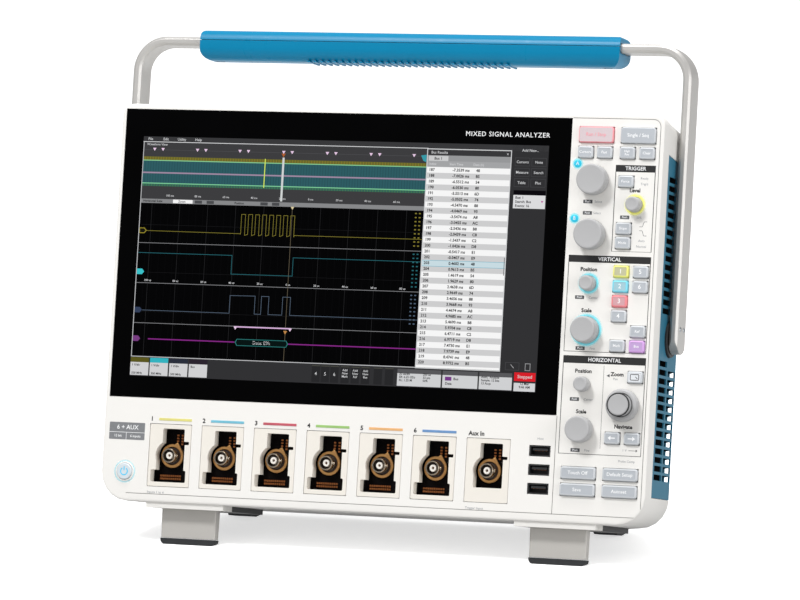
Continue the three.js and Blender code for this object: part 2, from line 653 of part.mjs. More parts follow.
addPiece('pan_ring', panRingPiece(), paint.knob);

// Lean the instrument back on its legs, stand it on Z = 0 and centre it over the origin.
instrument.rotation.x = -lean;
const analyzer = new THREE.Group();
analyzer.add(instrument);
analyzer.updateMatrixWorld(true);
const extent = new THREE.Box3().setFromObject(analyzer, true);
const middle = extent.getCenter(new THREE.Vector3());
instrument.position.set(-middle.x, -middle.y, -extent.min.z);

export default analyzer;
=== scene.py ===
import json
import math
import bpy
from mathutils import Matrix, Vector


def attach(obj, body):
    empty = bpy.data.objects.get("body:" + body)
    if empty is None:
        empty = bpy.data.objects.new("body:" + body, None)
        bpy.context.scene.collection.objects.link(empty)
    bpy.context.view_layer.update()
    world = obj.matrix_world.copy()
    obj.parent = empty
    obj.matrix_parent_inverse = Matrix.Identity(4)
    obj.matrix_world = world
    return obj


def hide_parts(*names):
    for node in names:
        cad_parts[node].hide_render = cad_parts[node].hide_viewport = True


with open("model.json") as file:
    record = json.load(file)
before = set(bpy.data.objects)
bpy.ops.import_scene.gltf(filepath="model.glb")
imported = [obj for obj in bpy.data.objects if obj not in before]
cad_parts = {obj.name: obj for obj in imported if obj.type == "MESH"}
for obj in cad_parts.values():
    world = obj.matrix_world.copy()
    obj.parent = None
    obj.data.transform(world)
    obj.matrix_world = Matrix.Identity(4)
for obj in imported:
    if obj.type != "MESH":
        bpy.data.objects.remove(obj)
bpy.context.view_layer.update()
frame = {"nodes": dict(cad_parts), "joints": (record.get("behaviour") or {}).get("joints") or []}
nodes = frame["nodes"]

# The instrument leans back on its legs. Pieces are modelled upright, in millimetres from the middle of
# the front face's lower edge, with Y going back, and are then scaled and leaned onto the CAD frame.
stance = dict(lean=12, hub=(0, 40, 127))
hubPlace = next(joint["pos_m"] for joint in frame["joints"] if joint["name"] == "handle_turn")
leanBack = Matrix.Rotation(math.radians(-stance["lean"]), 4, "X") @ Matrix.Scale(0.001, 4)
standing = Matrix.Translation(Vector(hubPlace) - leanBack @ Vector(stance["hub"])) @ leanBack
upright = standing.inverted()


def uprightBox(node):
    # the corners of a CAD node, in upright millimetres
    points = [upright @ vertex.co for vertex in nodes[node].data.vertices]
    return [(min(p[i] for p in points), max(p[i] for p in points)) for i in range(3)]


# colours and materials
def tone(code):
    parts = [int(code[i:i + 2], 16) / 255 for i in (0, 2, 4)]
    return [c / 12.92 if c <= 0.04045 else ((c + 0.055) / 1.055) ** 2.4 for c in parts] + [1]


def darker(colour, share):
    return [c * share for c in colour[:3]] + [1]


def newGroup(name, inputs, outputs):
    group = bpy.data.node_groups.new(name, "ShaderNodeTree")
    for label, value in inputs.items():
        socket = group.interface.new_socket(name=label, in_out="INPUT", socket_type="NodeSocketFloat")
        socket.default_value = value
    for label in outputs:
        group.interface.new_socket(name=label, in_out="OUTPUT", socket_type="NodeSocketFloat")
    return group, group.nodes.new("NodeGroupInput"), group.nodes.new("NodeGroupOutput")


def makeHandled():
    # slow colour drift, fine moulding grain, thin rub marks and settled dust
    group, given, result = newGroup("handledSurface",
        {"Drift Scale": 18, "Grain Scale": 2200, "Rub Scale": 90}, ["Drift", "Grain", "Rub", "Dust"])
    make, link = group.nodes.new, group.links.new
    place = make("ShaderNodeTexCoord")
    drift = make("ShaderNodeTexNoise")
    drift.inputs["Detail"].default_value = 4
    grain = make("ShaderNodeTexNoise")
    grain.inputs["Detail"].default_value = 2
    stretch = make("ShaderNodeMapping")
    stretch.inputs["Scale"].default_value = (1, 1, 0.08)
    stretch.inputs["Rotation"].default_value = (0.3, 0.7, 0.4)
    rub = make("ShaderNodeTexNoise")
    rub.inputs["Detail"].default_value = 6
    rub.inputs["Roughness"].default_value = 0.7
    rubMask = make("ShaderNodeMapRange")
    rubMask.inputs["From Min"].default_value = 0.56
    rubMask.inputs["From Max"].default_value = 0.78
    shape = make("ShaderNodeNewGeometry")
    facing = make("ShaderNodeSeparateXYZ")
    up = make("ShaderNodeMapRange")
    up.inputs["From Min"].default_value = 0.55
    dust = make("ShaderNodeMath")
    dust.operation = "MULTIPLY"
    for noise, scale in ((drift, "Drift Scale"), (grain, "Grain Scale"), (rub, "Rub Scale")):
        link(given.outputs[scale], noise.inputs["Scale"])
    link(place.outputs["Object"], drift.inputs["Vector"])
    link(place.outputs["Object"], grain.inputs["Vector"])
    link(place.outputs["Object"], stretch.inputs["Vector"])
    link(stretch.outputs["Vector"], rub.inputs["Vector"])
    link(rub.outputs["Fac"], rubMask.inputs["Value"])
    link(shape.outputs["Normal"], facing.inputs["Vector"])
    link(facing.outputs["Z"], up.inputs["Value"])
    link(up.outputs["Result"], dust.inputs[0])
    link(drift.outputs["Fac"], dust.inputs[1])
    link(drift.outputs["Fac"], result.inputs["Drift"])
    link(grain.outputs["Fac"], result.inputs["Grain"])
    link(rubMask.outputs["Result"], result.inputs["Rub"])
    link(dust.outputs["Value"], result.inputs["Dust"])
    return group


def makeStreaks():
    # long fine lines along X, as brushing or drawing leaves on metal
    group, given, result = newGroup("drawnLines", {"Line Scale": 900}, ["Lines", "Cloud"])
    make, link = group.nodes.new, group.links.new
    place = make("ShaderNodeTexCoord")
    stretch = make("ShaderNodeMapping")
    stretch.inputs["Scale"].default_value = (0.02, 1, 1)
    lines = make("ShaderNodeTexNoise")
    lines.inputs["Detail"].default_value = 5
    cloud = make("ShaderNodeTexVoronoi")
    cloud.inputs["Scale"].default_value = 120
    link(place.outputs["Object"], stretch.inputs["Vector"])
    link(stretch.outputs["Vector"], lines.inputs["Vector"])
    link(given.outputs["Line Scale"], lines.inputs["Scale"])
    link(place.outputs["Object"], cloud.inputs["Vector"])
    link(lines.outputs["Fac"], result.inputs["Lines"])
    link(cloud.outputs["Color"], result.inputs["Cloud"])
    return group


handled = makeHandled()
drawnLines = makeStreaks()


def startMaterial(name):
    material = bpy.data.materials.new(name)
    material.use_nodes = True
    tree = material.node_tree
    return material, tree, tree.nodes["Principled BSDF"]


def placeGroup(tree, group, **values):
    node = tree.nodes.new("ShaderNodeGroup")
    node.node_tree = group
    for label, value in values.items():
        node.inputs[label.replace("_", " ")].default_value = value
    return node


def blendColours(tree, mask, low, high):
    mix = tree.nodes.new("ShaderNodeMix")
    mix.data_type = "RGBA"
    tree.links.new(mask, mix.inputs["Factor"])
    for socket, value in (("A", low), ("B", high)):
        if isinstance(value, list):
            mix.inputs[socket].default_value = value
        else:
            tree.links.new(value, mix.inputs[socket])
    return mix.outputs["Result"]


def spread(tree, mask, low, high):
    span = tree.nodes.new("ShaderNodeMapRange")
    span.inputs["To Min"].default_value = low
    span.inputs["To Max"].default_value = high
    tree.links.new(mask, span.inputs["Value"])
    return span.outputs["Result"]


def bumped(tree, height, strength, distance):
    bump = tree.nodes.new("ShaderNodeBump")
    bump.inputs["Strength"].default_value = strength
    bump.inputs["Distance"].default_value = distance
    tree.links.new(height, bump.inputs["Height"])
    return bump.outputs["Normal"]


def moulded(name, code, roughness=0.45, depth=0.10, drift=0.93, dust=0.04, grain=2200,
            metallic=0.0, shine=0.5):
    # a moulded or painted surface: the colour drifts, rubbed places are smoother and dust lies on top
    material, tree, shader = startMaterial(name)
    surface = placeGroup(tree, handled, Grain_Scale=grain)
    colour = tone(code)
    drifted = blendColours(tree, surface.outputs["Drift"], darker(colour, drift), darker(colour, 2 - drift))
    dustMask = spread(tree, surface.outputs["Dust"], 0, dust * 4)
    dusty = blendColours(tree, dustMask, drifted, tone("B9B4AA"))
    tree.links.new(dusty, shader.inputs["Base Color"])
    tree.links.new(spread(tree, surface.outputs["Rub"], roughness + 0.05, roughness - 0.07),
                   shader.inputs["Roughness"])
    tree.links.new(bumped(tree, surface.outputs["Grain"], depth, 0.00015), shader.inputs["Normal"])
    shader.inputs["Metallic"].default_value = metallic
    shader.inputs["Specular IOR Level"].default_value = shine
    return material


def metal(name, code, roughness=0.3, cloud=0.12, lines=900, depth=0.08):
    material, tree, shader = startMaterial(name)
    drawn = placeGroup(tree, drawnLines, Line_Scale=lines)
    colour = tone(code)
    lined = blendColours(tree, drawn.outputs["Lines"], darker(colour, 0.86), darker(colour, 1.08))
    mixed = blendColours(tree, spread(tree, drawn.outputs["Cloud"], 0, cloud), lined, darker(colour, 0.6))
    tree.links.new(mixed, shader.inputs["Base Color"])
    tree.links.new(spread(tree, drawn.outputs["Lines"], roughness - 0.08, roughness + 0.1),
                   shader.inputs["Roughness"])
    tree.links.new(bumped(tree, drawn.outputs["Lines"], depth, 0.0001), shader.inputs["Normal"])
    shader.inputs["Metallic"].default_value = 1
    return material


def rubbery(name, code):
    material, tree, shader = startMaterial(name)
    surface = placeGroup(tree, handled, Grain_Scale=1400)
    pebbles = tree.nodes.new("ShaderNodeTexVoronoi")
    pebbles.inputs["Scale"].default_value = 1500
    place = tree.nodes.new("ShaderNodeTexCoord")
    tree.links.new(place.outputs["Object"], pebbles.inputs["Vector"])
    colour = tone(code)
    tree.links.new(blendColours(tree, surface.outputs["Drift"], darker(colour, 0.75), darker(colour, 1.5)),
                   shader.inputs["Base Color"])
    tree.links.new(spread(tree, surface.outputs["Rub"], 0.82, 0.6), shader.inputs["Roughness"])
    tree.links.new(bumped(tree, pebbles.outputs["Distance"], 0.3, 0.0002), shader.inputs["Normal"])
    return material


def coverGlass(name):
    # black-backed glass with faint finger smudges
    material, tree, shader = startMaterial(name)
    surface = placeGroup(tree, handled, Drift_Scale=22, Grain_Scale=160, Rub_Scale=60)
    tree.links.new(blendColours(tree, surface.outputs["Drift"], tone("000000"), tone("030304")),
                   shader.inputs["Base Color"])
    tree.links.new(spread(tree, surface.outputs["Rub"], 0.07, 0.16), shader.inputs["Roughness"])
    tree.links.new(bumped(tree, surface.outputs["Grain"], 0.01, 0.0001), shader.inputs["Normal"])
    shader.inputs["Specular IOR Level"].default_value = 0.035
    return material


def circuit(name):
    # solder mask over traces and filled areas
    material, tree, shader = startMaterial(name)
    place = tree.nodes.new("ShaderNodeTexCoord")
    traces = tree.nodes.new("ShaderNodeTexBrick")
    traces.inputs["Scale"].default_value = 120
    traces.inputs["Mortar Size"].default_value = 0.06
    traces.inputs["Color1"].default_value = tone("14502F")
    traces.inputs["Color2"].default_value = tone("1B6238")
    traces.inputs["Mortar"].default_value = tone("2F8A4E")
    surface = placeGroup(tree, handled, Grain_Scale=900)
    tree.links.new(place.outputs["Object"], traces.inputs["Vector"])
    tree.links.new(blendColours(tree, surface.outputs["Rub"], traces.outputs["Color"], tone("0E3A22")),
                   shader.inputs["Base Color"])
    tree.links.new(spread(tree, surface.outputs["Drift"], 0.3, 0.5), shader.inputs["Roughness"])
    tree.links.new(bumped(tree, traces.outputs["Fac"], 0.2, 0.00005), shader.inputs["Normal"])
    return material


def printed(name, code, roughness=0.5):
    material, tree, shader = startMaterial(name)
    surface = placeGroup(tree, handled, Drift_Scale=400, Grain_Scale=3000)
    colour = tone(code)
    tree.links.new(blendColours(tree, surface.outputs["Drift"], darker(colour, 0.88), darker(colour, 1.1)),
                   shader.inputs["Base Color"])
    tree.links.new(spread(tree, surface.outputs["Grain"], roughness - 0.06, roughness + 0.08),
                   shader.inputs["Roughness"])
    return material


def lit(name, code, strength):
    # translucent plastic with a lamp behind it, brighter in places
    material, tree, shader = startMaterial(name)
    surface = placeGroup(tree, handled, Drift_Scale=160, Grain_Scale=2600)
    colour = tone(code)
    glow = blendColours(tree, surface.outputs["Drift"], darker(colour, 0.85), darker(colour, 1.15))
    tree.links.new(glow, shader.inputs["Base Color"])
    tree.links.new(glow, shader.inputs["Emission Color"])
    tree.links.new(spread(tree, surface.outputs["Rub"], 0.4, 0.3), shader.inputs["Roughness"])
    shader.inputs["Emission Strength"].default_value = strength
    return material


def haloed(name, code, strength):
    # light that spreads from under a knob and fades with distance, held in the piece's own attribute
    material, tree, shader = startMaterial(name)
    fade = tree.nodes.new("ShaderNodeAttribute")
    fade.attribute_name = "fade"
    curve = tree.nodes.new("ShaderNodeMath")
    curve.operation = "POWER"
    curve.inputs[1].default_value = 1.6
    tree.links.new(fade.outputs["Fac"], curve.inputs[0])
    colour = tone(code)
    tint = blendColours(tree, curve.outputs["Value"], darker(colour, 1.2), colour)
    tree.links.new(tint, shader.inputs["Base Color"])
    tree.links.new(tint, shader.inputs["Emission Color"])
    tree.links.new(curve.outputs["Value"], shader.inputs["Alpha"])
    shader.inputs["Emission Strength"].default_value = strength
    shader.inputs["Roughness"].default_value = 0.5
    return material


def screenLight(name):
    # the picture's colours are on the faces; the glass over it stays glossy
    material, tree, shader = startMaterial(name)
    picture = tree.nodes.new("ShaderNodeAttribute")
    picture.attribute_name = "picture"
    surface = placeGroup(tree, handled, Rub_Scale=60)
    tree.links.new(picture.outputs["Color"], shader.inputs["Emission Color"])
    tree.links.new(spread(tree, surface.outputs["Rub"], 0.08, 0.16), shader.inputs["Roughness"])
    shader.inputs["Base Color"].default_value = tone("000000")
    shader.inputs["Specular IOR Level"].default_value = 0.035
    shader.inputs["Emission Strength"].default_value = 0.92
    return material


finishes = dict(
    casing=moulded("casingWhite", "EDEBE7", 0.42, depth=0.06, drift=0.985, dust=0.01),
    seam=moulded("seamShadow", "A3A19D", 0.7),
    key=moulded("keyGrey", "B4B9BF", 0.42, depth=0.06),
    keyRim=moulded("keyRimGrey", "C9CDD1", 0.4, depth=0.05),
    knob=moulded("knobGrey", "AFAFB0", 0.5, depth=0.14),
    grip=moulded("gripBlue", "007CA6", 0.27, depth=0.06, drift=0.95, dust=0.0, shine=0.18),
    vent=moulded("ventBlue", "28708B", 0.5, depth=0.16, drift=0.94, dust=0.02, shine=0.3),
    bar=moulded("handleSilver", "BDBBB8", 0.36, depth=0.05, dust=0.01, metallic=0.5),
    leg=moulded("legGrey", "C1BEB9", 0.4, depth=0.08, metallic=0.2),
    # dark plastic; also painted shade on the zoom knob's face and under the case
    dark=moulded("darkPlasticAndPaintedShade", "1B1C1E", 0.5, depth=0.2, dust=0.02),
    # black of the input recesses; also painted shade in the screw drives
    well=moulded("wellBlackAndDriveShade", "070404", 0.6, depth=0.1, dust=0.0, shine=0.05),
    plate=moulded("plateCream", "E9E4DB", 0.45, depth=0.06, drift=0.98, dust=0.01),
    # near-black sheet behind the vent slots: painted shade
    shadeSheet=moulded("ventPaintedShade", "030406", 0.9, depth=0.4, dust=0, grain=900, shine=0.02),
    rubber=rubbery("footRubber", "27292B"),
    glass=coverGlass("coverGlass"),
    sheet=metal("platedSheet", "A9ADB1", 0.34, cloud=0.3),
    chrome=metal("plugChrome", "A89C8C", 0.24, cloud=0.05, lines=2600),
    gold=metal("contactGold", "A8693F", 0.35, cloud=0.2, lines=2600),
    collar=metal("collarBronze", "CF9C62", 0.34, cloud=0.2, lines=1500),
    # dark brown deep in the jacks: painted shade
    jackShade=moulded("jackPaintedShade", "2A150C", 0.4),
    insulator=moulded("insulatorWhite", "F3EEE6", 0.4, depth=0.04, dust=0),
    board=circuit("circuitBoard"),
    inkBlack=printed("inkBlack", "0F0F10"),
    inkDark=printed("inkDarkGrey", "4A4B4E"),
    inkGrey=printed("inkGrey", "9A9DA1"),
    inkPlate=printed("inkPlateGrey", "7B7D80"),
    inkWhite=printed("inkWhite", "F6F7F8"),
    inkPink=printed("inkPink", "EE9AA4"),
    screen=screenLight("screenPicture"),
)
print("materials ready")


# working helpers
def deselect():
    if bpy.context.mode != "OBJECT":
        bpy.ops.object.mode_set(mode="OBJECT")
    bpy.ops.object.select_all(action="DESELECT")


def choose(*pieces):
    deselect()
    for piece in pieces:
        piece.select_set(True)
    bpy.context.view_layer.objects.active = pieces[0]
    return pieces[0]


def editAll():
    # the active piece goes into edit mode with everything selected
    bpy.ops.object.mode_set(mode="EDIT")
    bpy.ops.mesh.select_all(action="SELECT")


def outward():
    # everything faces outwards, and edit mode ends
    bpy.ops.mesh.select_all(action="SELECT")
    bpy.ops.mesh.normals_make_consistent(inside=False)
    bpy.ops.object.mode_set(mode="OBJECT")


def joined(pieces):
    choose(*pieces)
    if len(pieces) > 1:
        bpy.ops.object.join()
    return bpy.context.object


def keepPlace(piece):
    choose(piece)
    bpy.ops.object.transform_apply(location=True, rotation=True, scale=True)
    return piece


def applied(piece, modifier):
    choose(piece)
    bpy.ops.object.modifier_apply(modifier=modifier.name)
    return piece


def soften(piece, width=0.3, segments=2, angle=30):
    edge = piece.modifiers.new("soften", "BEVEL")
    edge.width = width
    edge.segments = segments
    edge.limit_method = "ANGLE"
    edge.angle_limit = math.radians(angle)
    return applied(piece, edge)


def cut(piece, cutter, operation="DIFFERENCE"):
    change = piece.modifiers.new("cut", "BOOLEAN")
    change.object = cutter
    change.operation = operation
    change.solver = "EXACT"
    change.use_self = True
    applied(piece, change)
    bpy.data.objects.remove(cutter)
    return piece


def paint(piece, materials, index=0):
    # the materials in order, with every face on one of them
    for material in materials:
        piece.data.materials.append(material)
    for face in piece.data.polygons:
        face.material_index = index
    return piece


def block(x, y, z, round=0.3, segments=2):
    # a box with eased edges from (from, to) pairs in millimetres
    deselect()
    bpy.ops.mesh.primitive_cube_add(size=1, location=[(a + b) / 2 for a, b in (x, y, z)])
    piece = bpy.context.object
    piece.scale = [b - a for a, b in (x, y, z)]
    keepPlace(piece)
    return soften(piece, round, segments) if round else piece


def pickFaces(piece, test):
    # leaves the piece in edit mode with the faces that pass selected
    choose(piece)
    bpy.ops.object.mode_set(mode="EDIT")
    bpy.ops.mesh.select_mode(type="FACE")
    bpy.ops.mesh.select_all(action="DESELECT")
    bpy.ops.object.mode_set(mode="OBJECT")
    for face in piece.data.polygons:
        face.select = test(face.center, face.normal)
    bpy.ops.object.mode_set(mode="EDIT")


def drawn(points, filled=False, close=False):
    # a plane merged to one vertex, which is then extruded from point to point
    deselect()
    bpy.ops.mesh.primitive_plane_add(size=1, location=points[0])
    piece = keepPlace(bpy.context.object)
    bpy.ops.object.mode_set(mode="EDIT")
    bpy.ops.mesh.select_mode(type="VERT")
    bpy.ops.mesh.select_all(action="SELECT")
    bpy.ops.mesh.merge(type="CENTER")
    for before, after in zip(points, points[1:]):
        bpy.ops.mesh.extrude_vertices_move(TRANSFORM_OT_translate={"value": Vector(after) - Vector(before)})
    bpy.ops.mesh.select_all(action="SELECT")
    if filled:
        bpy.ops.mesh.edge_face_add()
    elif close:
        bpy.ops.mesh.edge_face_add()
        bpy.ops.mesh.delete(type="ONLY_FACE")
    bpy.ops.object.mode_set(mode="OBJECT")
    return piece


def lookingAlong(piece, way):
    # an open sheet turned over if its first face looks away from the given way
    if piece.data.polygons[0].normal.dot(Vector(way)) < 0:
        choose(piece)
        editAll()
        bpy.ops.mesh.flip_normals()
        bpy.ops.object.mode_set(mode="OBJECT")
    return piece


def thickened(piece, step):
    # the flat faces pushed along a step, closed all round
    choose(piece)
    editAll()
    bpy.ops.mesh.extrude_region_move(TRANSFORM_OT_translate={"value": step})
    outward()
    return piece


turnTo = dict(front=(0, 0, 0), right=(0, 0, 90), left=(0, 0, -90), back=(0, 0, 180), below=(90, 0, 0))


def turned(profile, place=(0, 0, 0), steps=40, facing="front"):
    # a chain of (radius, depth) points spun round the Y direction
    piece = drawn([(radius, depth, 0) for radius, depth in profile])
    editAll()
    bpy.ops.mesh.spin(steps=steps, angle=2 * math.pi, center=(0, 0, 0), axis=(0, 1, 0))
    bpy.ops.mesh.select_all(action="SELECT")
    bpy.ops.mesh.remove_doubles(threshold=0.002)
    outward()
    piece.rotation_euler = [math.radians(angle) for angle in turnTo[facing]]
    piece.location = place
    return keepPlace(piece)


def arc(x, z, radius, start, end, steps=6):
    angles = [math.radians(start + (end - start) * step / steps) for step in range(steps + 1)]
    return [(x + radius * math.cos(a), z + radius * math.sin(a)) for a in angles]


def roundBox(left, right, low, high, radius, steps=4):
    return (arc(left + radius, low + radius, radius, 180, 270, steps)
            + arc(right - radius, low + radius, radius, 270, 360, steps)
            + arc(right - radius, high - radius, radius, 0, 90, steps)
            + arc(left + radius, high - radius, radius, 90, 180, steps))


def slab(outline, front, back):
    # a flat outline of (x, z) points given thickness
    return thickened(drawn([(x, front, z) for x, z in outline], True), (0, back - front, 0))


def ribbon(path, width, front, back, closed=False):
    # a strip of even width along a line of (x, z) points, given thickness
    count = len(path)
    near, far = [], []
    for i, point in enumerate(path):
        before = path[i - 1] if i > 0 or closed else point
        after = path[(i + 1) % count] if i < count - 1 or closed else point
        along = Vector((after[0] - before[0], after[1] - before[1])).normalized() * width / 2
        near.append((point[0] - along.y, point[1] + along.x))
        far.append((point[0] + along.y, point[1] - along.x))
    if not closed:
        return slab(near + far[::-1], front, back)
    rims = joined([drawn([(x, front, z) for x, z in side], close=True) for side in (near, far)])
    editAll()
    bpy.ops.mesh.bridge_edge_loops()
    bpy.ops.object.mode_set(mode="OBJECT")
    return thickened(rims, (0, back - front, 0))


def words(items, depth, heavy=0.01, thick=0.02, facing="front", spacing=1.0):
    # printed lettering from (text, x, z, cap height, align) rows, as one flat mesh
    rows = []
    for text, x, z, height, align in items:
        deselect()
        bpy.ops.object.text_add(location=(x, depth, z))
        row = bpy.context.object
        row.rotation_euler = (math.radians(90), 0, math.radians(180 if facing == "back" else 0))
        row.data.body = text
        row.data.size = height / 0.7
        row.data.align_x = align
        row.data.align_y = "CENTER"
        row.data.resolution_u = 2
        row.data.space_character = spacing
        row.data.offset = heavy * height
        row.data.extrude = thick
        rows.append(row)
    choose(*rows)
    bpy.ops.object.convert(target="MESH")
    piece = joined(list(bpy.context.selected_objects))
    return keepPlace(piece)


def nodeCopy(name, width=0.4, segments=2, angle=30):
    # a CAD node's mesh, merged and with eased edges, which then stands for the node
    mesh = nodes[name].data.copy()
    mesh.transform(upright)
    mesh.materials.clear()
    piece = bpy.data.objects.new(name + "_fine", mesh)
    bpy.context.scene.collection.objects.link(piece)
    choose(piece)
    bpy.ops.mesh.customdata_custom_splitnormals_clear()
    editAll()
    bpy.ops.mesh.remove_doubles(threshold=0.003)
    bpy.ops.mesh.dissolve_limited(angle_limit=math.radians(0.4))
    bpy.ops.object.mode_set(mode="OBJECT")
    return soften(piece, width, segments, angle) if width else piece


def settle(piece, name, body, materials, standsFor=(), smooth=35):
    # a finished piece takes its materials, goes onto the frame and rides on its body
    keepPlace(piece)
    piece.name = name
    piece.data.name = name
    if not isinstance(materials, (list, tuple)):
        materials = [materials]
    if len(piece.data.materials) == 0:
        for material in materials:
            piece.data.materials.append(material)
    piece.data.transform(standing)
    choose(piece)
    bpy.ops.object.shade_smooth_by_angle(angle=math.radians(smooth))
    even = piece.modifiers.new("evenShading", "WEIGHTED_NORMAL")
    even.keep_sharp = True
    applied(piece, even)
    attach(piece, body)
    if standsFor:
        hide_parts(*standsFor)
    return piece


# casing
rear = dict(face=133, back=134)
panelSeam = dict(left=-176, right=192.6, low=5.6, high=270.3, highRound=5,
                 glassRight=131.3, glassLow=71, width=0.4, depth=0.5)


def makeFrontCasing():
    seam = panelSeam
    path = ([(seam["left"], seam["low"])]
            + arc(seam["right"] - seam["highRound"], seam["low"] + seam["highRound"],
                  seam["highRound"], 270, 360)
            + arc(seam["right"] - seam["highRound"], seam["high"] - seam["highRound"],
                  seam["highRound"], 0, 90)
            + [(seam["glassRight"], seam["high"])])
    stem = [(seam["glassRight"], seam["glassLow"]), (seam["glassRight"], seam["low"])]
    shell = nodeCopy("front_casing", 0.35, 2, 40)
    colours = (finishes["casing"], finishes["seam"])
    paint(shell, colours)
    for line in (path, stem):
        cut(shell, paint(ribbon(line, seam["width"], -1, seam["depth"]), colours, 1))
    settle(shell, "frontShell", "case", finishes["casing"], ["front_casing"], 30)


def makeRearCasing():
    shell = nodeCopy("rear_casing", 0.8, 3, 25)
    colours = (finishes["casing"], finishes["dark"])
    paint(shell, colours)
    # behind this point the case's underside takes the dark plastic: partly the leg housings' own dark colour,
    # partly painted shade under the case
    darkUndersideStart = 19
    pickFaces(shell, lambda centre, normal: True)
    bpy.ops.mesh.bisect(plane_co=(0, darkUndersideStart, 0), plane_no=(0, 1, 0))
    bpy.ops.object.mode_set(mode="OBJECT")
    for face in shell.data.polygons:
        if face.center.z < -0.2 and face.center.y > darkUndersideStart:
            face.material_index = 1
    seamPath = roundBox(-151, 151, 8, 237, 8, 6)
    for line in (seamPath, roundBox(-84, 84, 76, 234, 3, 4)):
        cut(shell, paint(ribbon(line, 0.7, rear["back"] - 0.6, rear["back"] + 1, True), colours, 1))
    settle(shell, "rearShell", "case", finishes["casing"], ["rear_casing"], 30)


makeFrontCasing()
makeRearCasing()
print("casings ready")


# screen
glassFront = uprightBox("display_glass")[1][0]
display = dict(left=-178.5, top=251.2, width=293.8, height=165.2, layer=0.014)


class Picture:
    # flat coloured shapes laid over one another on the glass, placed from the display's top left corner
    def __init__(self):
        self.parts = []

    def spot(self, x, down, layer):
        return (display["left"] + x, glassFront - display["layer"] * (layer + 1), display["top"] - down)

    def shape(self, points, colour, layer):
        if len(points) % 2:
            points = points + [((points[0][0] + points[-1][0]) / 2, (points[0][1] + points[-1][1]) / 2)]
        for i in range(1, len(points) - 2, 2):
            corners = [points[0]] + points[i:i + 3]
            self.parts.append(([self.spot(x, down, layer) for x, down in corners], tone(colour)))

    def box(self, left, top, width, height, colour, layer=1):
        right, low = left + width, top + height
        self.shape([(left, low), (right, low), (right, top), (left, top)], colour, layer)

    def line(self, points, colour, width=0.35, layer=3):
        for (x0, d0), (x1, d1) in zip(points, points[1:]):
            along = Vector((x1 - x0, d1 - d0)).normalized() * width / 2
            self.shape([(x0 - along.x - along.y, d0 - along.y + along.x),
                        (x1 + along.x - along.y, d1 + along.y + along.x),
                        (x1 + along.x + along.y, d1 + along.y - along.x),
                        (x0 - along.x + along.y, d0 - along.y - along.x)], colour, layer)

    def frame(self, left, top, width, height, colour, line=0.3, layer=3):
        right, low = left + width, top + height
        self.line([(left, top), (right, top), (right, low), (left, low), (left, top)], colour, line, layer)

    def marker(self, x, down, size, colour, layer=4):
        self.shape([(x, down + size), (x + size * 0.6, down), (x - size * 0.6, down)], colour, layer)

    def made(self):
        # one row of grid squares, split from each other and moved to their corners
        deselect()
        bpy.ops.mesh.primitive_grid_add(x_subdivisions=len(self.parts), y_subdivisions=1, size=1)
        piece = keepPlace(bpy.context.object)
        editAll()
        bpy.ops.mesh.edge_split(type="EDGE")
        bpy.ops.object.mode_set(mode="OBJECT")
        for face, (corners, _) in zip(piece.data.polygons, self.parts):
            for index, corner in zip(face.vertices, corners):
                piece.data.vertices[index].co = corner
        addPictureColour(piece, [colour for _, colour in self.parts])
        return piece


def addPictureColour(piece, colours):
    layer = piece.data.attributes.new("picture", "FLOAT_COLOR", "CORNER")
    for face, colour in zip(piece.data.polygons, colours):
        for corner in face.loop_indices:
            layer.data[corner].color = colour


def screenWords(items, colour, layer=5, heavy=0.01):
    rows = [(text, display["left"] + x, display["top"] - down, height, align)
            for text, x, down, height, align in items]
    piece = words(rows, glassFront - display["layer"] * (layer + 1), heavy, 0)
    addPictureColour(piece, [tone(colour)] * len(piece.data.polygons))
    return piece


viewArea = dict(left=0.6, right=207.6, menu=4.0, barTop=43.0, barLow=45.9, low=151.6)
waves = dict(grid=[9.1, 29.8, 50.5, 71.2, 91.9, 112.6, 133.3, 154.0, 174.7, 195.4],
             rows=[73.4, 101.0, 128.6], trigger=112.6)


def drawOverview(picture):
    left, right = viewArea["left"], viewArea["right"]
    picture.box(left, viewArea["menu"], right - left, 39, "3F3F41")
    picture.box(left, 9.0, right - left, 0.2, "56565A", 2)
    picture.box(left, 13.8, right - left, 2.4, "6E6B2C", 2)
    picture.box(left, 16.2, right - left, 16.2, "2F5F66", 2)
    picture.box(left, 32.4, right - left, 1.8, "35665A", 2)
    for step in range(104):
        x = left + 1 + step * 1.98
        picture.box(x, 14.0, 0.5, 2.0, "8E7F2E", 3)
        picture.box(x + 0.6, 17.0, 0.45, 15, "2A5158", 3)
        picture.box(x, 32.8, 0.5, 1.4, "4B7F52", 3)
    picture.box(left, 16.1, right - left, 0.6, "8FD69A", 4)
    picture.box(left, 24.4, right - left, 1.0, "A68FA8", 4)
    picture.box(left, 31.9, right - left, 0.6, "86D8A2", 4)
    picture.box(90.4, 13.6, 0.7, 19.8, "D9F060", 5)
    picture.box(103.3, 12.4, 1.5, 30, "D8DCDC", 5)
    for start in (8.6, 40.4, 71.8, 103.9, 135.7, 167.4, 198.4):
        picture.marker(start, 7.8, 2.1, "F2D4F0", 5)
        if start < 190:
            picture.marker(start + 6.2, 7.8, 2.1, "F2D4F0", 5)
    picture.marker(103.9, 9.6, 2.6, "B4602C", 5)
    picture.shape([(203.4, 8.6), (207.4, 8.0), (207.4, 13), (205.2, 12.2)], "3AA0AE", 5)
    picture.box(left, viewArea["barTop"], right - left, 2.9, "8C8D8F", 3)
    picture.box(24.5, 43.2, 14.5, 2.4, "FFFFFF", 4)
    for x in (40.6, 49.4, 89, 97.5):
        picture.box(x, 43.4, 5.4, 2.1, "4C4D50", 4)


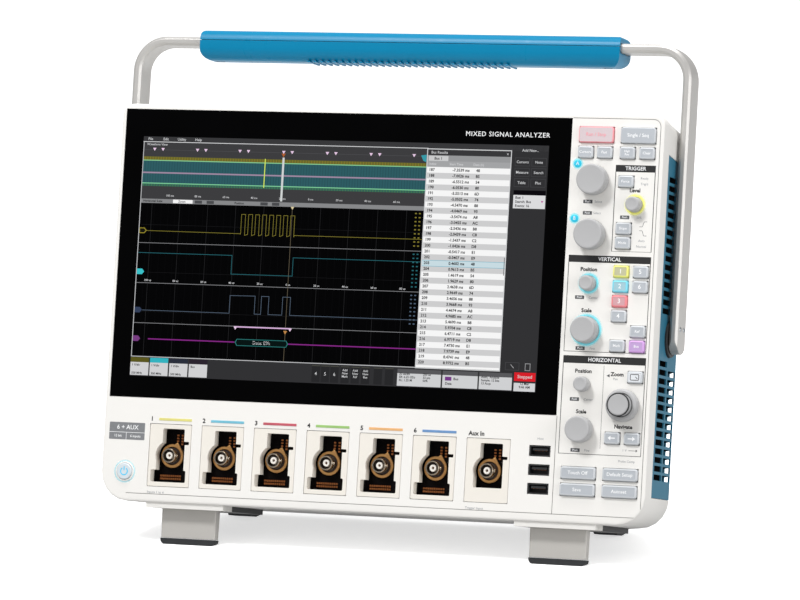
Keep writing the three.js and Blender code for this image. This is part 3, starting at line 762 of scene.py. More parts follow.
def drawGrid(picture):
    left, right = viewArea["left"], viewArea["right"]
    top, low = viewArea["barLow"], viewArea["low"]
    picture.box(left, top, right - left, low - top, "010102")
    for x in waves["grid"]:
        picture.box(x - 0.12, top, 0.24, low - top, "2C2C2E", 2)
    for index in range(40):
        picture.box(left + 5.17 * index, top, 0.12, low - top, "0E0E10", 2)
    for down in (60.8, 93.6, 120.6):
        picture.box(left, down, right - left, 0.14, "232325", 2)
    for down in waves["rows"]:
        picture.box(left, down - 0.15, right - left, 0.34, "8B8C8F", 3)
    picture.box(waves["trigger"] - 0.15, top, 0.3, low - top, "6B6250", 3)
    picture.marker(waves["trigger"], top, 2.0, "E8D8A8", 4)


def drawTraces(picture):
    right = viewArea["right"]
    burst = [(6, 65.0), (75.8, 65.3)]
    pulses, pitch, high, low = 8, 5.15, 52.0, 65.6
    for step in range(pulses):
        x = 75.8 + step * pitch
        burst += [(x, low), (x, high), (x + 2.9, high), (x + 2.9, low + 0.8)]
    burst += [(115.2, 65.4), (right, 65.4)]
    picture.line(burst, "918838", 0.28, 4)
    picture.line([(0.8, 80.3), (70.5, 80.3), (70.5, 93.1), (115.3, 93.1), (115.3, 80.6), (right, 80.6)],
                 "2F747E", 0.3, 4)
    picture.line([(6.6, 119.8), (70.8, 119.9), (70.8, 107.8), (89.2, 107.6), (89.2, 119.9), (93.9, 119.9),
                  (93.9, 107.6), (99.3, 107.6), (99.3, 119.9), (109.4, 119.9), (109.4, 107.6),
                  (115.1, 107.6), (115.1, 119.9), (right, 119.9)], "5D6D80", 0.3, 4)
    picture.box(12, 139.1, 64, 0.75, "8B2C8B", 4)
    picture.box(115.2, 139.1, right - 115.2, 0.75, "8B2C8B", 4)
    picture.shape([(76.2, 139.5), (77.6, 137.2), (113.8, 137.2), (115.2, 139.5), (113.8, 141.9),
                   (77.6, 141.9)], "2F7F7C", 4)
    picture.shape([(76.9, 139.5), (77.9, 137.6), (113.5, 137.6), (114.5, 139.5), (113.5, 141.5),
                   (77.9, 141.5)], "041413", 5)
    picture.box(75, 128.6, 41.5, 0.8, "E3B9E6", 5)
    picture.marker(76, 128.8, 2.2, "F2D4F0", 5)
    picture.marker(116, 128.8, 2.2, "F2D4F0", 5)
    picture.marker(112.6, 130.6, 2.4, "C58A4C", 5)
    for down, colour in ((65.0, "A79A34"), (93.3, "3CC8D0"), (119.7, "34415C"), (139.4, "7C3F86")):
        for inset, shade, layer in ((0, colour, 5), (0.45, "17170F" if down == 65.0 else colour, 6)):
            picture.shape([(0.8 + inset, down - 1.9 + inset), (4.6 - inset / 2, down - 1.9 + inset),
                           (6.2 - inset * 1.4, down), (4.6 - inset / 2, down + 1.9 - inset),
                           (0.8 + inset, down + 1.9 - inset)], shade, layer)
    for row, (start, colour) in enumerate(((47.6, "8C8334"), (75.2, "2B6F78"), (103.0, "55677C"))):
        for step in range(9 if row < 2 else 8):
            for x in (201.4, 204.2):
                picture.box(x, start + step * 2.75, 1.3, 0.8, colour, 4)


def drawTable(picture):
    left, right, rowTall, first = 208.2, 267.4, 3.94, 16.1
    picture.frame(left - 0.3, 4.0, right - left + 0.5, 148, "D9DADC", 0.6, 3)
    picture.box(left, 4.3, right - left, 3.9, "3A3A3C", 2)
    picture.box(left, 8.2, right - left, 3.9, "9C9D9F", 2)
    picture.box(left + 0.8, 8.6, 14, 3.4, "D2D3D4", 3)
    picture.box(left, 12.1, right - left, 4.0, "A9AAAC", 2)
    for row in range(35):
        top = first + row * rowTall
        tall = min(rowTall, 151.6 - top)
        if tall > 0.5:
            colour = "CFE3EA" if row == 16 else ("FFFFFF" if row % 2 == 0 else "D5D5D6")
            picture.box(left, top, right - left, tall, colour, 2)
    picture.box(left, first + 16 * rowTall, right - left, 0.3, "6FB7CC", 3)
    picture.box(left, first + 17 * rowTall, right - left, 0.3, "6FB7CC", 3)
    picture.box(right - 0.9, 76, 0.5, 12, "6A6B6D", 4)


def drawSides(picture):
    picture.box(0, 0, display["width"], 4.0, "3A3A3C")
    picture.box(268.1, 0, 25.7, display["height"], "333335", 1)
    picture.box(0, 151.9, display["width"], 13.3, "333335", 1)
    picture.box(viewArea["left"] - 0.6, 3.4, 208.4, 0.45, "E2E3E5", 4)
    picture.box(0.2, 3.9, 0.5, 148, "C9CACC", 4)
    picture.box(0.2, 151.5, 208, 0.5, "C9CACC", 4)
    for row, down in enumerate((9.0, 16.0, 23.0)):
        for x in (270.6, 282.3):
            picture.frame(x, down - 0.4, 10.2, 5.4, "4A4A4D", 0.25, 3)
    picture.box(270.6, 30.4, 22.6, 3.2, "08060C", 3)
    picture.box(270.6, 33.6, 22.6, 9.0, "E4E4E6", 3)
    picture.marker(291.0, 37.2, 1.6, "C26AA8", 4)
    for x, colour in ((0, "5E5A1E"), (14.4, "35B9C6"), (28.9, "2A2F3D"), (43.4, "2C2430")):
        picture.box(x + 0.2, 152.4, 13.5, 3.3, colour, 3)
        picture.box(x + 0.2, 155.7, 13.5, 8.9, "D9D9DB", 3)
    for x in (133.6, 140.3, 147.0, 154.6, 162.0, 169.4, 178.4, 186.4):
        picture.box(x, 153.2, 6.0, 11.2, "29292B", 3)
        picture.box(x, 153.2, 6.0, 0.35, "55554A", 4)
    for x, wide in ((195.3, 31.2), (227.6, 25.0), (253.6, 23.2)):
        picture.box(x, 153.2, wide, 2.9, "5B5B5E", 3)
        picture.box(x, 156.1, wide, 8.5, "D7D8DA", 3)
    picture.box(229.4, 157.2, 4.6, 2.6, "7A3C8C", 4)
    picture.box(278.2, 152.4, 15.0, 5.8, "E0202B", 3)
    picture.box(278.2, 159.4, 15.0, 5.6, "DADBDD", 3)
    picture.frame(285.6, 146.4, 3.4, 4.6, "A9AAAC", 0.35, 4)
    picture.frame(271.6, 146.0, 9.6, 5.0, "4E4E51", 0.25, 4)
    picture.line([(275.4, 147.4), (277.4, 149.6)], "A9AAAC", 0.4, 4)


def tableWords():
    values = ["7.3539", "7.0026", "6.5512", "6.0530", "5.5513", "5.0502", "4.5470", "4.0469", "3.5474",
              "3.0455", "2.5436", "2.0439", "1.5437", "1.0426", "0.5417", "0.0407", "0.4602", "0.9613",
              "1.4619", "1.9629", "2.4638", "2.9649", "3.4656", "3.9668", "4.4674", "4.9685", "5.4690",
              "5.9704", "6.4711", "6.9719", "7.4730", "7.9739", "8.4741", "8.9752"]
    codes = ["48", "B5", "54", "80", "6D", "74", "88", "93", "A8", "AC", "B8", "C8", "C2", "D8", "E1", "E9"]
    rows = []
    for row, value in enumerate(values):
        down = 16.1 + (row + 0.5) * 3.94
        if down < 150:
            rows += [(str(187 + row), 209.6, down, 1.9, "LEFT"),
                     (("-" if row < 16 else "") + value + " ms", 238.6, down, 1.9, "RIGHT"),
                     (codes[row % len(codes)], 244.6, down, 1.9, "CENTER")]
    return rows


def makeScreen():
    picture = Picture()
    drawSides(picture)
    drawOverview(picture)
    drawGrid(picture)
    drawTraces(picture)
    drawTable(picture)
    pale = [(word, x, 1.7, 1.8, "LEFT") for word, x in (
        ("File", 3.4), ("Edit", 14.6), ("Utility", 25.2), ("Help", 38.2))]
    pale += [("Waveform View", 2.8, 5.4, 1.6, "LEFT"),
             ("Bus Results", 210.6, 6.3, 1.8, "LEFT"), ("x", 265, 6.2, 1.8, "CENTER"),
             ("Index", 209.6, 14.1, 1.6, "LEFT"), ("Start Time", 224, 14.1, 1.6, "LEFT"),
             ("Data (h)", 241, 14.1, 1.6, "LEFT"), ("Stopped", 285.7, 155.3, 2.2, "CENTER"),
             ("Add New...", 281, 3.6, 1.8, "CENTER"), ("Data: E9h", 95.6, 139.6, 2.3, "CENTER")]
    pale += [(word, x, down, 1.8, "CENTER") for word, x, down in (
        ("Cursors", 275.8, 11.4), ("Note", 287.4, 11.4), ("Measure", 275.8, 18.4), ("Search", 287.4, 18.4),
        ("Table", 275.8, 25.4), ("Plot", 287.4, 25.4))]
    pale += [(str(4 + i), 136.6 + 6.7 * i, 158.8, 2.2, "CENTER") for i in range(3)]
    pale += [("Add\nNew\n" + word, x, 157.8, 1.5, "CENTER") for word, x in (
        ("Math", 157.6), ("Ref", 165), ("Bus", 172.4))]
    pale += [("%d ms" % (abs(step - 5) * 20), 22 + step * 20.7, 40.6, 1.4, "CENTER") for step in range(9)]
    pale += [("%d us" % (abs(step - 5) * 20), x, 99.2, 1.4, "CENTER") for step, x in enumerate(waves["grid"])]
    inkDark = [("Bus 1", 213, 10.4, 1.8, "LEFT"), ("Zoom", 28.4, 44.5, 1.5, "LEFT"),
               ("Horizontal Scale", 2.4, 44.5, 1.5, "LEFT"), ("Position", 70, 44.5, 1.5, "LEFT"),
               ("Bus: 1", 272, 35.4, 1.7, "LEFT"), ("Search: Bus", 272, 38.1, 1.7, "LEFT"),
               ("Events: 16", 272, 40.9, 1.7, "LEFT"), ("Bus", 44.8, 157.6, 1.5, "LEFT"),
               ("20 us/div\nSR: 6.25 GS/s\nRL: 1.25 M", 196.6, 158.6, 1.5, "LEFT"),
               ("200 us\n32 pts\n50%", 213.6, 158.6, 1.5, "LEFT"), ("Bus", 235.4, 158.6, 1.7, "LEFT"),
               ("Data", 229.6, 161.8, 1.7, "LEFT"),
               ("Auto,  Analyze\nSample: 12 bits\n13 Acqs", 255, 158.6, 1.5, "LEFT"),
               ("12 Mar\n9:46 AM", 285.7, 161.1, 1.6, "CENTER")]
    inkDark += [(word, x, down, 1.5, "LEFT") for word, down in (("1 V/div", 157.6), ("500 MHz", 163.2))
                for x in (1.2, 15.6, 30.1)]
    parts = [picture.made(), screenWords(pale, "DADBDD"), screenWords(inkDark, "1E1E20", heavy=0.03),
             screenWords(tableWords(), "202022", heavy=0.045)]
    settle(joined(parts), "screenPicture", "case", finishes["screen"])
    glass = nodeCopy("display_glass", 0.12, 2)
    settle(glass, "coverGlassPane", "case", finishes["glass"], ["display_glass"])
    title = words([("MIXED SIGNAL ANALYZER", 115.6, 258.0, 3.2, "RIGHT")], glassFront - 0.03, 0, spacing=1.12)
    settle(title, "glassTitle", "case", finishes["inkWhite"])


makeScreen()
print("screen ready")


# control panel print
panel = dict(print=-0.03, line=0.5)
sections = dict(
    trigger=dict(left=162.8, right=190.6, low=181.8, high=239.5, bar=234.9, name="TRIGGER"),
    vertical=dict(left=133.4, right=190.7, low=114.4, high=178.6, bar=173.9, name="VERTICAL"),
    horizontal=dict(left=133.5, right=191.0, low=46.3, high=111.6, bar=106.6, name="HORIZONTAL"),
)


def makePanelPrint():
    black, lines, titles = [], [], []
    for area in sections.values():
        left, right = area["left"], area["right"]
        black.append(slab([(left, area["bar"]), (right, area["bar"]), (right, area["high"]),
                           (left, area["high"])], panel["print"], 0))
        edge = [(left + 0.2, area["bar"]), (left + 0.2, area["low"]), (right - 0.2, area["low"]),
                (right - 0.2, area["bar"])]
        lines.append(ribbon(edge, panel["line"], panel["print"], 0))
        titles.append((area["name"], (left + right) / 2, (area["bar"] + area["high"]) / 2, 2.5, "CENTER"))
    lines.append(ribbon([(162.2, 105.5), (162.4, 50.4)], 0.22, panel["print"], 0))
    settle(joined(black), "panelBars", "case", finishes["inkBlack"])
    settle(joined(lines), "panelLines", "case", finishes["inkBlack"])
    settle(words(titles, panel["print"] - 0.03, 0.02), "panelTitles", "case", finishes["inkWhite"])


def makePanelLabels():
    labels = [("Level", 177.0, 222.6), ("Position", 147.9, 169.2), ("Scale", 147.8, 141.8),
              ("Position", 148.0, 101.4), ("Scale", 147.9, 74.4), ("Zoom", 171.6, 100.0),
              ("Navigate", 177.7, 65.4)]
    rows = [(text, x, z, 2.5, "CENTER") for text, x, z in labels]
    rows.append(("Aux In", 70.0, 56.8, 2.9, "LEFT"))
    rows += [(str(i + 1), -160.6 + 38.3 * i, 57.0, 2.9, "LEFT") for i in range(6)]
    settle(words(rows, panel["print"], 0.05), "panelLabels", "case", finishes["inkBlack"])
    small = [("Pan", 170.6, 96.9), ("Ready", 183.2, 230.8), ("Trig'd", 183.2, 227.0), ("Auto", 183.3, 189.2),
             ("Normal", 183.3, 185.4), ("Select", 151.9, 214.5), ("Select", 151.5, 206.9),
             ("Fine", 153.2, 116.6), ("Fine", 153.4, 48.8), ("Center", 152.0, 150.4),
             ("Center", 152.4, 82.6), ("50%", 180.8, 204.6),
             ("Host", 120.7, 55.2), ("Probe Comp", 181.2, 42.6), ("1 V", 179.4, 49.9)]
    rows = [(text, x, z, 1.55, "CENTER") for text, x, z in small]
    rows += [("Inputs 1 to 6", -160.4, 6.9, 1.7, "LEFT"), ("Trigger input", 70.2, 6.9, 1.7, "LEFT")]
    settle(words(rows, panel["print"], 0.004), "panelSmallWords", "case", finishes["inkGrey"])
    tags = [(144.6, 214.5), (144.7, 206.9), (170.8, 204.6), (142.5, 150.5), (144.8, 116.6), (142.8, 82.6),
            (145.2, 48.8)]
    boxes = [slab(roundBox(x - 3.2, x + 3.2, z - 1.2, z + 1.2, 0.3, 2), panel["print"], 0) for x, z in tags]
    settle(joined(boxes), "pushTags", "case", finishes["inkDark"])
    settle(words([("Push", x, z, 1.4, "CENTER") for x, z in tags], panel["print"] - 0.03),
           "pushWords", "case", finishes["inkWhite"])
    arrow = [slab([(164.2, 99.0), (166.4, 97.9), (166.4, 100.1)], panel["print"], 0),
             slab([(187.2, 50.8), (188.4, 49.9), (187.2, 49.0)], panel["print"], 0),
             ribbon([(182.2, 49.9), (187.4, 49.9)], 0.3, panel["print"], 0)]
    arrow += [ribbon([(181.4, start), (183.4, start), (184.6, end), (186.6, end)], 0.32, panel["print"], 0)
              for start, end in ((198.6, 202.0), (196.0, 192.6))]
    settle(joined(arrow), "panelMarks", "case", finishes["inkDark"])


def makeTypePlate():
    plate = dict(left=-190.9, right=-164.6, low=42.0, high=53.8, split=47.0, middle=-178.2)
    back = slab(roundBox(plate["left"], plate["right"], plate["low"], plate["high"], 0.4, 2),
                panel["print"] - 0.02, 0)
    settle(back, "typePlate", "case", finishes["inkPlate"])
    lines = [ribbon([(plate["left"], plate["split"]), (plate["right"], plate["split"])], 0.3, -0.07, 0),
             ribbon([(plate["middle"], plate["split"]), (plate["middle"], plate["low"])], 0.3, -0.07, 0),
             words([("6 + AUX", -177.4, 50.4, 3.0, "CENTER"), ("12 bit", -184.4, 44.5, 1.7, "CENTER"),
                    ("6 inputs", -171.4, 44.5, 1.7, "CENTER")], -0.07, 0.01)]
    settle(joined(lines), "typePlateWords", "case", finishes["inkWhite"])


makePanelPrint()
makePanelLabels()
makeTypePlate()
print("panel print ready")


# keys
keyFace = dict(front=-2.2, rim=1.15, sink=0.12, ease=0.25)
keyNames = dict(
    run_stop="Run / Stop", single="Single / Seq", cursors="Cursors", fast_acq="Fast", high_res="High\nRes",
    clear="Clear", force="Force", slope="Slope", mode="Mode", channel_1="1", channel_2="2", channel_3="3",
    channel_4="4", channel_5="5", channel_6="6", ref="Ref", math="Math", bus="Bus", zoom="",
    navigate_left="", navigate_right="", touch_off="Touch Off", default_setup="Default Setup", save="Save",
    autoset="Autoset")
litKeys = dict(run_stop=("E8929A", 0.12), channel_1=("DEDC74", 0.2), channel_2=("74CBDD", 0.2),
               channel_3=("E08086", 0.15), bus=("C79AD6", 0.15))
litCentres = dict(run_stop="D3C3C7", channel_3="CF9EA4", bus="BE9FD0", channel_1="BDBC98",
                  channel_2="9CC3CE", zoom="DDE0E4")


def makeKey(name, legend):
    piece = nodeCopy(name, keyFace["ease"], 2, 40)
    (x0, x1), _, (z0, z1) = uprightBox(name)
    lip = 0.9
    x0, x1, z0, z1 = x0 + lip, x1 - lip, z0 + lip, z1 - lip
    small = x1 - x0 < 15
    rim = lit(name + "Glow", *litKeys[name]) if name in litKeys else finishes["keyRim"]
    centre = finishes["key"]
    if name in litCentres:
        centre = moulded(name + "Centre", litCentres[name], 0.42, depth=0.06)
    paint(piece, (rim, centre))
    inset = keyFace["rim"] * (0.45 if name in ("run_stop", "single") else 1)
    hollow = slab(roundBox(x0 + inset, x1 - inset, z0 + inset, z1 - inset, 0.5), keyFace["front"] - 1,
                  keyFace["front"] + keyFace["sink"])
    cut(piece, paint(hollow, (rim, centre), 1))
    settle(piece, name + "Key", name, rim, [name])
    middle = ((x0 + x1) / 2, (z0 + z1) / 2)
    depth = keyFace["front"] + keyFace["sink"] - 0.03
    marks = keyMarks(name, legend, middle, depth, small)
    if marks:
        ink = finishes[{"zoom": "inkDark", "run_stop": "inkPink"}.get(name, "inkWhite")]
        settle(joined(marks), name + "Legend", name, ink)


def keyMarks(name, legend, middle, depth, small):
    x, z = middle
    if legend:
        single = len(legend) == 1
        height = 3.0 if single else (1.75 if small else 2.3)
        if "\n" in legend:
            height = 1.5
        return [words([(legend, x, z, height, "CENTER")], depth, 0.015)]
    if name == "zoom":
        return [ribbon(roundBox(x - 2.9, x + 2.9, z - 1.9, z + 1.9, 0.5, 2), 0.5, depth, depth + 0.02, True),
                ribbon([(x + 0.6, z + 0.4), (x + 2.0, z - 1.0)], 0.5, depth, depth + 0.02)]
    way = -1 if name == "navigate_left" else 1
    head = [(x + way * 2.6, z), (x + way * 0.7, z + 1.5), (x + way * 0.7, z - 1.5)]
    return [slab(head, depth, depth + 0.02),
            ribbon([(x - way * 2.4, z), (x + way * 0.8, z)], 0.7, depth, depth + 0.02)]


for keyName, legend in keyNames.items():
    makeKey(keyName, legend)
print("keys ready")


# light that spreads on the case round lit pieces
haloYellow = haloed("haloYellow", "ECEC8A", 0.2)
haloCyan = haloed("haloCyan", "8ADCE6", 0.2)


def makeHalo(name, x, z, inner, outer, finish, body="case", depth=-0.015):
    deselect()
    bpy.ops.mesh.primitive_circle_add(vertices=48, radius=inner, location=(x, depth, z),
                                      rotation=(math.pi / 2, 0, 0))
    piece = keepPlace(bpy.context.object)
    bpy.ops.object.mode_set(mode="EDIT")
    bpy.ops.mesh.select_mode(type="VERT")
    bpy.ops.mesh.select_all(action="SELECT")
    rings, radius = 6, inner
    for ring in range(rings):
        wider = inner + (outer - inner) * (ring + 1) / rings
        bpy.ops.mesh.extrude_edges_move()
        bpy.ops.transform.resize(value=[wider / radius] * 3, center_override=(x, depth, z))
        radius = wider
    outward()
    lookingAlong(piece, (0, -1, 0))
    layer = piece.data.attributes.new("fade", "FLOAT", "POINT")
    for vertex, fade in zip(piece.data.vertices, layer.data):
        fade.value = min(max((outer - math.hypot(vertex.co.x - x, vertex.co.z - z)) / (outer - inner), 0), 1)
    settle(piece, name + "Halo", body, finish)


# power key
def makePower():
    (x0, x1), (front, _), (z0, z1) = uprightBox("power")
    x, z = (x0 + x1) / 2, (z0 + z1) / 2
    piece = nodeCopy("power", 0.2, 2, 40)
    settle(piece, "powerKey", "power", moulded("powerPale", "D3DCE2", 0.4, depth=0.05), ["power"])
    makeHalo("power", x, z, 6.9, 8.3, haloed("haloPower", "A9DFEA", 0.1))
    ring = turned([(5.75, 0.3), (5.75, -0.35), (6.05, -0.55), (6.6, -0.5), (6.9, 0.02), (6.9, 0.3),
                   (5.75, 0.3)], (x, 0, z), 48)
    settle(ring, "powerSurround", "case", finishes["casing"])
    mark = [ribbon(arc(x, z, 2.5, 125, 415, 20), 0.75, front - 0.03, front + 0.01),
            ribbon([(x, z + 0.6), (x, z + 3.3)], 0.75, front - 0.03, front + 0.01)]
    settle(joined(mark), "powerSymbol", "power", lit("powerGlow", "3FB2D6", 0.3))


makePower()


# knobs and their light rings
knobShapes = dict(
    knob_a=dict(radius=10.25, tall=9.5), knob_b=dict(radius=10.25, tall=9.5),
    vertical_scale=dict(radius=8.85, tall=9.5), horizontal_scale=dict(radius=8.85, tall=9.5),
    trigger_level=dict(radius=5.1, tall=8), vertical_position=dict(radius=5.1, tall=8),
    horizontal_position=dict(radius=5.1, tall=8), zoom_knob=dict(radius=7.6, tall=13))
knobLights = dict(trigger_level=("DEDD72", 0.16), vertical_position=("74CFDC", 0.16),
                  vertical_scale=("74CFDC", 0.16))
def makeKnob(name, radius, tall):
    (x0, x1), _, (z0, z1) = uprightBox(name)
    x, z = (x0 + x1) / 2, (z0 + z1) / 2
    foot, edge, dish = 0.15, 0.75, 0.22
    profile = [(0, -tall + dish), (radius * 0.55, -tall + dish * 0.8), (radius - edge - 0.9, -tall + 0.05),
               (radius - edge - 0.45, -tall), (radius - edge - 0.2, -tall + 0.06),
               (radius - edge + 0.25, -tall + 0.25), (radius - 0.28, -tall + edge),
               (radius - 0.12, -tall + edge * 1.8),
               (radius - 0.05, -2.2), (radius, -1.4), (radius - 0.1, -0.75), (radius - 0.6, -0.6),
               (3, -0.6), (3, 6.4), (0, 6.4)]
    knob = turned(profile, (x, 0, z), 72)
    settle(knob, name + "Cap", name, finishes["knob"], [name], 40)
    if name in knobLights:
        code, strength = knobLights[name]
        pipe = turned([(radius + 0.2, 0.05), (radius + 0.25, -0.35), (radius + 0.95, -0.3),
                       (radius + 1.1, 0.05), (radius + 0.2, 0.05)], (x, 0, z), 56)
        settle(pipe, name + "LightRing", "case", lit(name + "RingGlow", code, strength))
        makeHalo(name, x, z, radius + 0.9, radius + 2.9, haloYellow if "level" in name else haloCyan)


for knobName, size in knobShapes.items():
    makeKnob(knobName, **size)

ring = nodeCopy("pan_ring", 0.35, 3, 35)
settle(ring, "panRingCap", "pan_ring", finishes["knob"], ["pan_ring"], 40)
# a dark ring round the edge of the zoom knob's face stands in for the shade there: painted shade
(zx0, zx1), _, (zz0, zz1) = uprightBox("zoom_knob")
zoomShadeRing = turned([(7.1, -12.9), (7.2, -13.1), (7.75, -13.05), (7.95, -12.7), (7.9, -12.1), (7.3, -12.0),
               (7.1, -12.9)], ((zx0 + zx1) / 2, 0, (zz0 + zz1) / 2), 56)
settle(zoomShadeRing, "zoomPaintedShadeRing", "zoom_knob", finishes["dark"])


def makeBadges():
    spots = [("A", 136.1, 239.7), ("B", 135.9, 203.0)]
    for letter, x, z in spots:
        dome = turned([(0, -0.45), (1.6, -0.42), (2.4, -0.25), (2.7, 0.05), (2.7, 0.3), (0, 0.3)],
                      (x, 0, z), 32)
        settle(dome, "badge" + letter, "case", lit("badge%sGlow" % letter, "22B5D2", 0.3))
        makeHalo("badge" + letter, x, z, 2.6, 4.2, haloCyan)
    letters = words([(letter, x, z, 2.3, "CENTER") for letter, x, z in spots], -0.5, 0.0)
    settle(letters, "badgeLetters", "case", finishes["inkWhite"])


makeBadges()
print("knobs ready")


# inputs
inputs = dict(first=-145.4, pitch=38.3, count=7, z=32.4, wide=30.4, tall=42.6, plateBack=6.9, floor=9)
barColours = ["DAD37E", "6FB9CF", "BE5563", "95BE6E", "E0AC74", "6790BF"]


def inputX(i):
    return inputs["first"] + inputs["pitch"] * i


def recessCutter(x, hasLowerRow):
    z, back = inputs["z"], inputs["floor"]
    depth = (-2, back)
    parts = [block((x - 5.6, x + 10.2), depth, (z, z + 18.3), 0.9, 3),
             block((x - 9.6, x + 10.8), depth, (z - 11.6, z - 1), 0.7, 3),
             block((x, x + 10.8), depth, (z - 4, z + 9), 0.4),
             block((x + 9, x + 13.8), depth, (z + 7.6, z + 9.8), 0.5)]
    if hasLowerRow:
        parts.append(block((x - 13.2, x + 12.4), depth, (z - 18.3, z - 10), 0.9, 3))
    deselect()
    bpy.ops.mesh.primitive_cylinder_add(vertices=56, radius=10.2, depth=back + 2,
                                        location=(x, (back - 2) / 2, z), rotation=(math.pi / 2, 0, 0))
    return [keepPlace(bpy.context.object)] + parts


def makeInput(i):
    x, z = inputX(i), inputs["z"]
    halfWide, halfTall = inputs["wide"] / 2, inputs["tall"] / 2
    hasLowerRow = i < inputs["count"] - 1
    plate = slab(roundBox(x - halfWide, x + halfWide, z - halfTall, z + halfTall, 0.8, 3),
                 0.15, inputs["plateBack"])
    well = block((x - 19.1, x + 19.1), (inputs["plateBack"] + 0.02, 13), (10.5, 56), 0)
    for part in (plate, well):
        for cutter in recessCutter(x, hasLowerRow):
            cut(part, cutter)
    soften(plate, 0.22, 2, 40)
    settle(plate, "inputPlate%d" % (i + 1), "case", finishes["plate"],
           ["input_connectors"] if i == 0 else ())
    settle(well, "inputWell%d" % (i + 1), "case", finishes["well"])
    makeJack(i + 1, x - 1, z)
    pads = [block((x + dx, x + dx + 1.7), (8.3, 9.1), (z + dz, z + dz + 1.3), 0.2, 1)
            for dx in (1.5, 4.8) for dz in (7.6, 9.6, 11.6, 13.6)]
    if hasLowerRow:
        pads += [block((x - 9.4 + 1.57 * n, x - 8.2 + 1.57 * n), (8.3, 9.1), (z + dz, z + dz + 1.4), 0.15, 1)
                 for n in range(10) for dz in (-14.4, -16.4)]
    settle(joined(pads), "inputContacts%d" % (i + 1), "case", finishes["gold"])


def makeJack(number, x, z):
    collar = turned([(6.2, 9), (6.2, 7.6), (6.4, 7.4), (7.9, 7.4), (8.2, 7.7), (8.2, 9), (6.2, 9)],
                    (x, 0, z), 56)
    tab = slab([(x + 7.0, z + 4.0), (x + 3.9, z + 9.2), (x + 3.1, z + 9.2), (x + 1.0, z + 7.6),
                (x + 4, z + 5)], 7.5, 9)
    settle(joined([collar, soften(tab, 0.2)]), "jackCollar%d" % number, "case", finishes["collar"])
    # a dark brown floor and ring deep in the jack close its gaps and stand in for the shade inside the
    # barrel: painted shade
    floor = turned([(0, 8.2), (5.8, 8.2), (5.8, 9), (0, 9)], (x, 0, z), 40)
    inner = turned([(2.7, 6.4), (3.95, 6.4), (3.95, 7), (2.7, 7), (2.7, 6.4)], (x, 0, z), 40)
    settle(joined([floor, inner]), "jackShadeFloor%d" % number, "case", finishes["jackShade"])
    barrel = turned([(4.0, 6.6), (4.0, 1.35), (4.15, 1.05), (4.6, 1.0), (4.85, 1.3), (4.85, 2.2), (4.7, 2.35),
                     (4.7, 5.8), (4.85, 6.0), (4.85, 8.4), (4.0, 8.4), (4.0, 6.6)], (x, 0, z), 48)
    lugs = []
    for way in (-1, 1):
        deselect()
        bpy.ops.mesh.primitive_cylinder_add(vertices=20, radius=0.95, depth=1.2, rotation=(0, math.pi / 2, 0),
                                            location=(x + way * 5.1, 3.5, z))
        lugs.append(soften(keepPlace(bpy.context.object), 0.2, 2))
    settle(joined([barrel] + lugs), "jackBarrel%d" % number, "case", finishes["chrome"])
    core = turned([(0.95, 6.4), (0.95, 2.5), (1.1, 2.35), (2.2, 2.35), (2.4, 2.6), (2.4, 6.6), (0.95, 6.6),
                   (0.95, 6.4)], (x, 0, z), 36)
    settle(core, "jackInsulator%d" % number, "case", finishes["insulator"])
    pin = turned([(0, 5.9), (0.3, 5.9), (0.3, 4.2), (0.5, 4.0), (0.6, 6.5), (0, 6.5)], (x, 0, z), 20)
    settle(pin, "jackPin%d" % number, "case", finishes["gold"])


for index in range(inputs["count"]):
    makeInput(index)
for index, code in enumerate(barColours):
    left = inputX(index) - inputs["wide"] / 2
    strip = block((left + 6.2, left + inputs["wide"]), (-0.25, 0.4), (56.2, 57.9), 0.15)
    settle(strip, "inputLight%d" % (index + 1), "case", lit("inputGlow%d" % (index + 1), code, 0.03))
print("inputs ready")


# host sockets
def makeHostSockets():
    piece = nodeCopy("front_panel_board", 0.1, 1, 40)
    paint(piece, (finishes["board"], finishes["dark"]))
    for face in piece.data.polygons:
        face.material_index = 1 if face.center.y < 7.2 else 0
    settle(piece, "panelBoard", "case", finishes["board"], ["front_panel_board"])
    tongues, contacts = [], []
    for z in (47.1, 34.5, 21.9):
        tongues.append(block((115.2, 126.0), (1.6, 7), (z + 0.2, z + 1.9), 0.15))
        contacts += [block((116.6 + 2.4 * n, 117.9 + 2.4 * n), (1.9, 6.5), (z + 0.05, z + 0.2), 0)
                     for n in range(4)]
    settle(joined(tongues), "hostTongues", "case", finishes["dark"])
    settle(joined(contacts), "hostContacts", "case", finishes["gold"])


makeHostSockets()


# screws
def screws(name, places, radius, facing, body, finish):
    heads, driveShades = [], []
    for x, y, z in places:
        heads.append(turned([(0, 0.2), (radius * 0.52, 0.2), (radius * 0.55, -0.45), (radius * 0.8, -0.4),
                             (radius, -0.05), (radius, 0.6), (0, 0.6)], (x, y, z), 28, facing))
        # a black hexagon on the floor of each head's recess stands in for the shade in the drive socket:
        # painted shade
        driveShades.append(turned([(0, 0.05), (radius * 0.5, 0.05), (radius * 0.5, 0.2), (0, 0.2)],
                             (x, y, z), 6, facing))
    settle(joined(heads), name, body, finish)
    settle(joined(driveShades), name + "DriveShades", body, finishes["well"])


# side vents
ventShape = dict(low=20, high=248, backHigh=240, frontLow=14.5, frontHigh=13.2, back=84, thick=1.1,
                 rows=35, pitch=5.84, first=33.8, tall=3.9, long=18.6, starts=[18.4, 40.2, 62], shoulder=60)
wall = [(10.3, 195.4), (60, 193.9), (130, 160)]


def wallAt(y):
    (y0, h0), (y1, h1) = wall[:2] if y < wall[1][0] else wall[1:]
    return h0 + (h1 - h0) * (y - y0) / (y1 - y0)


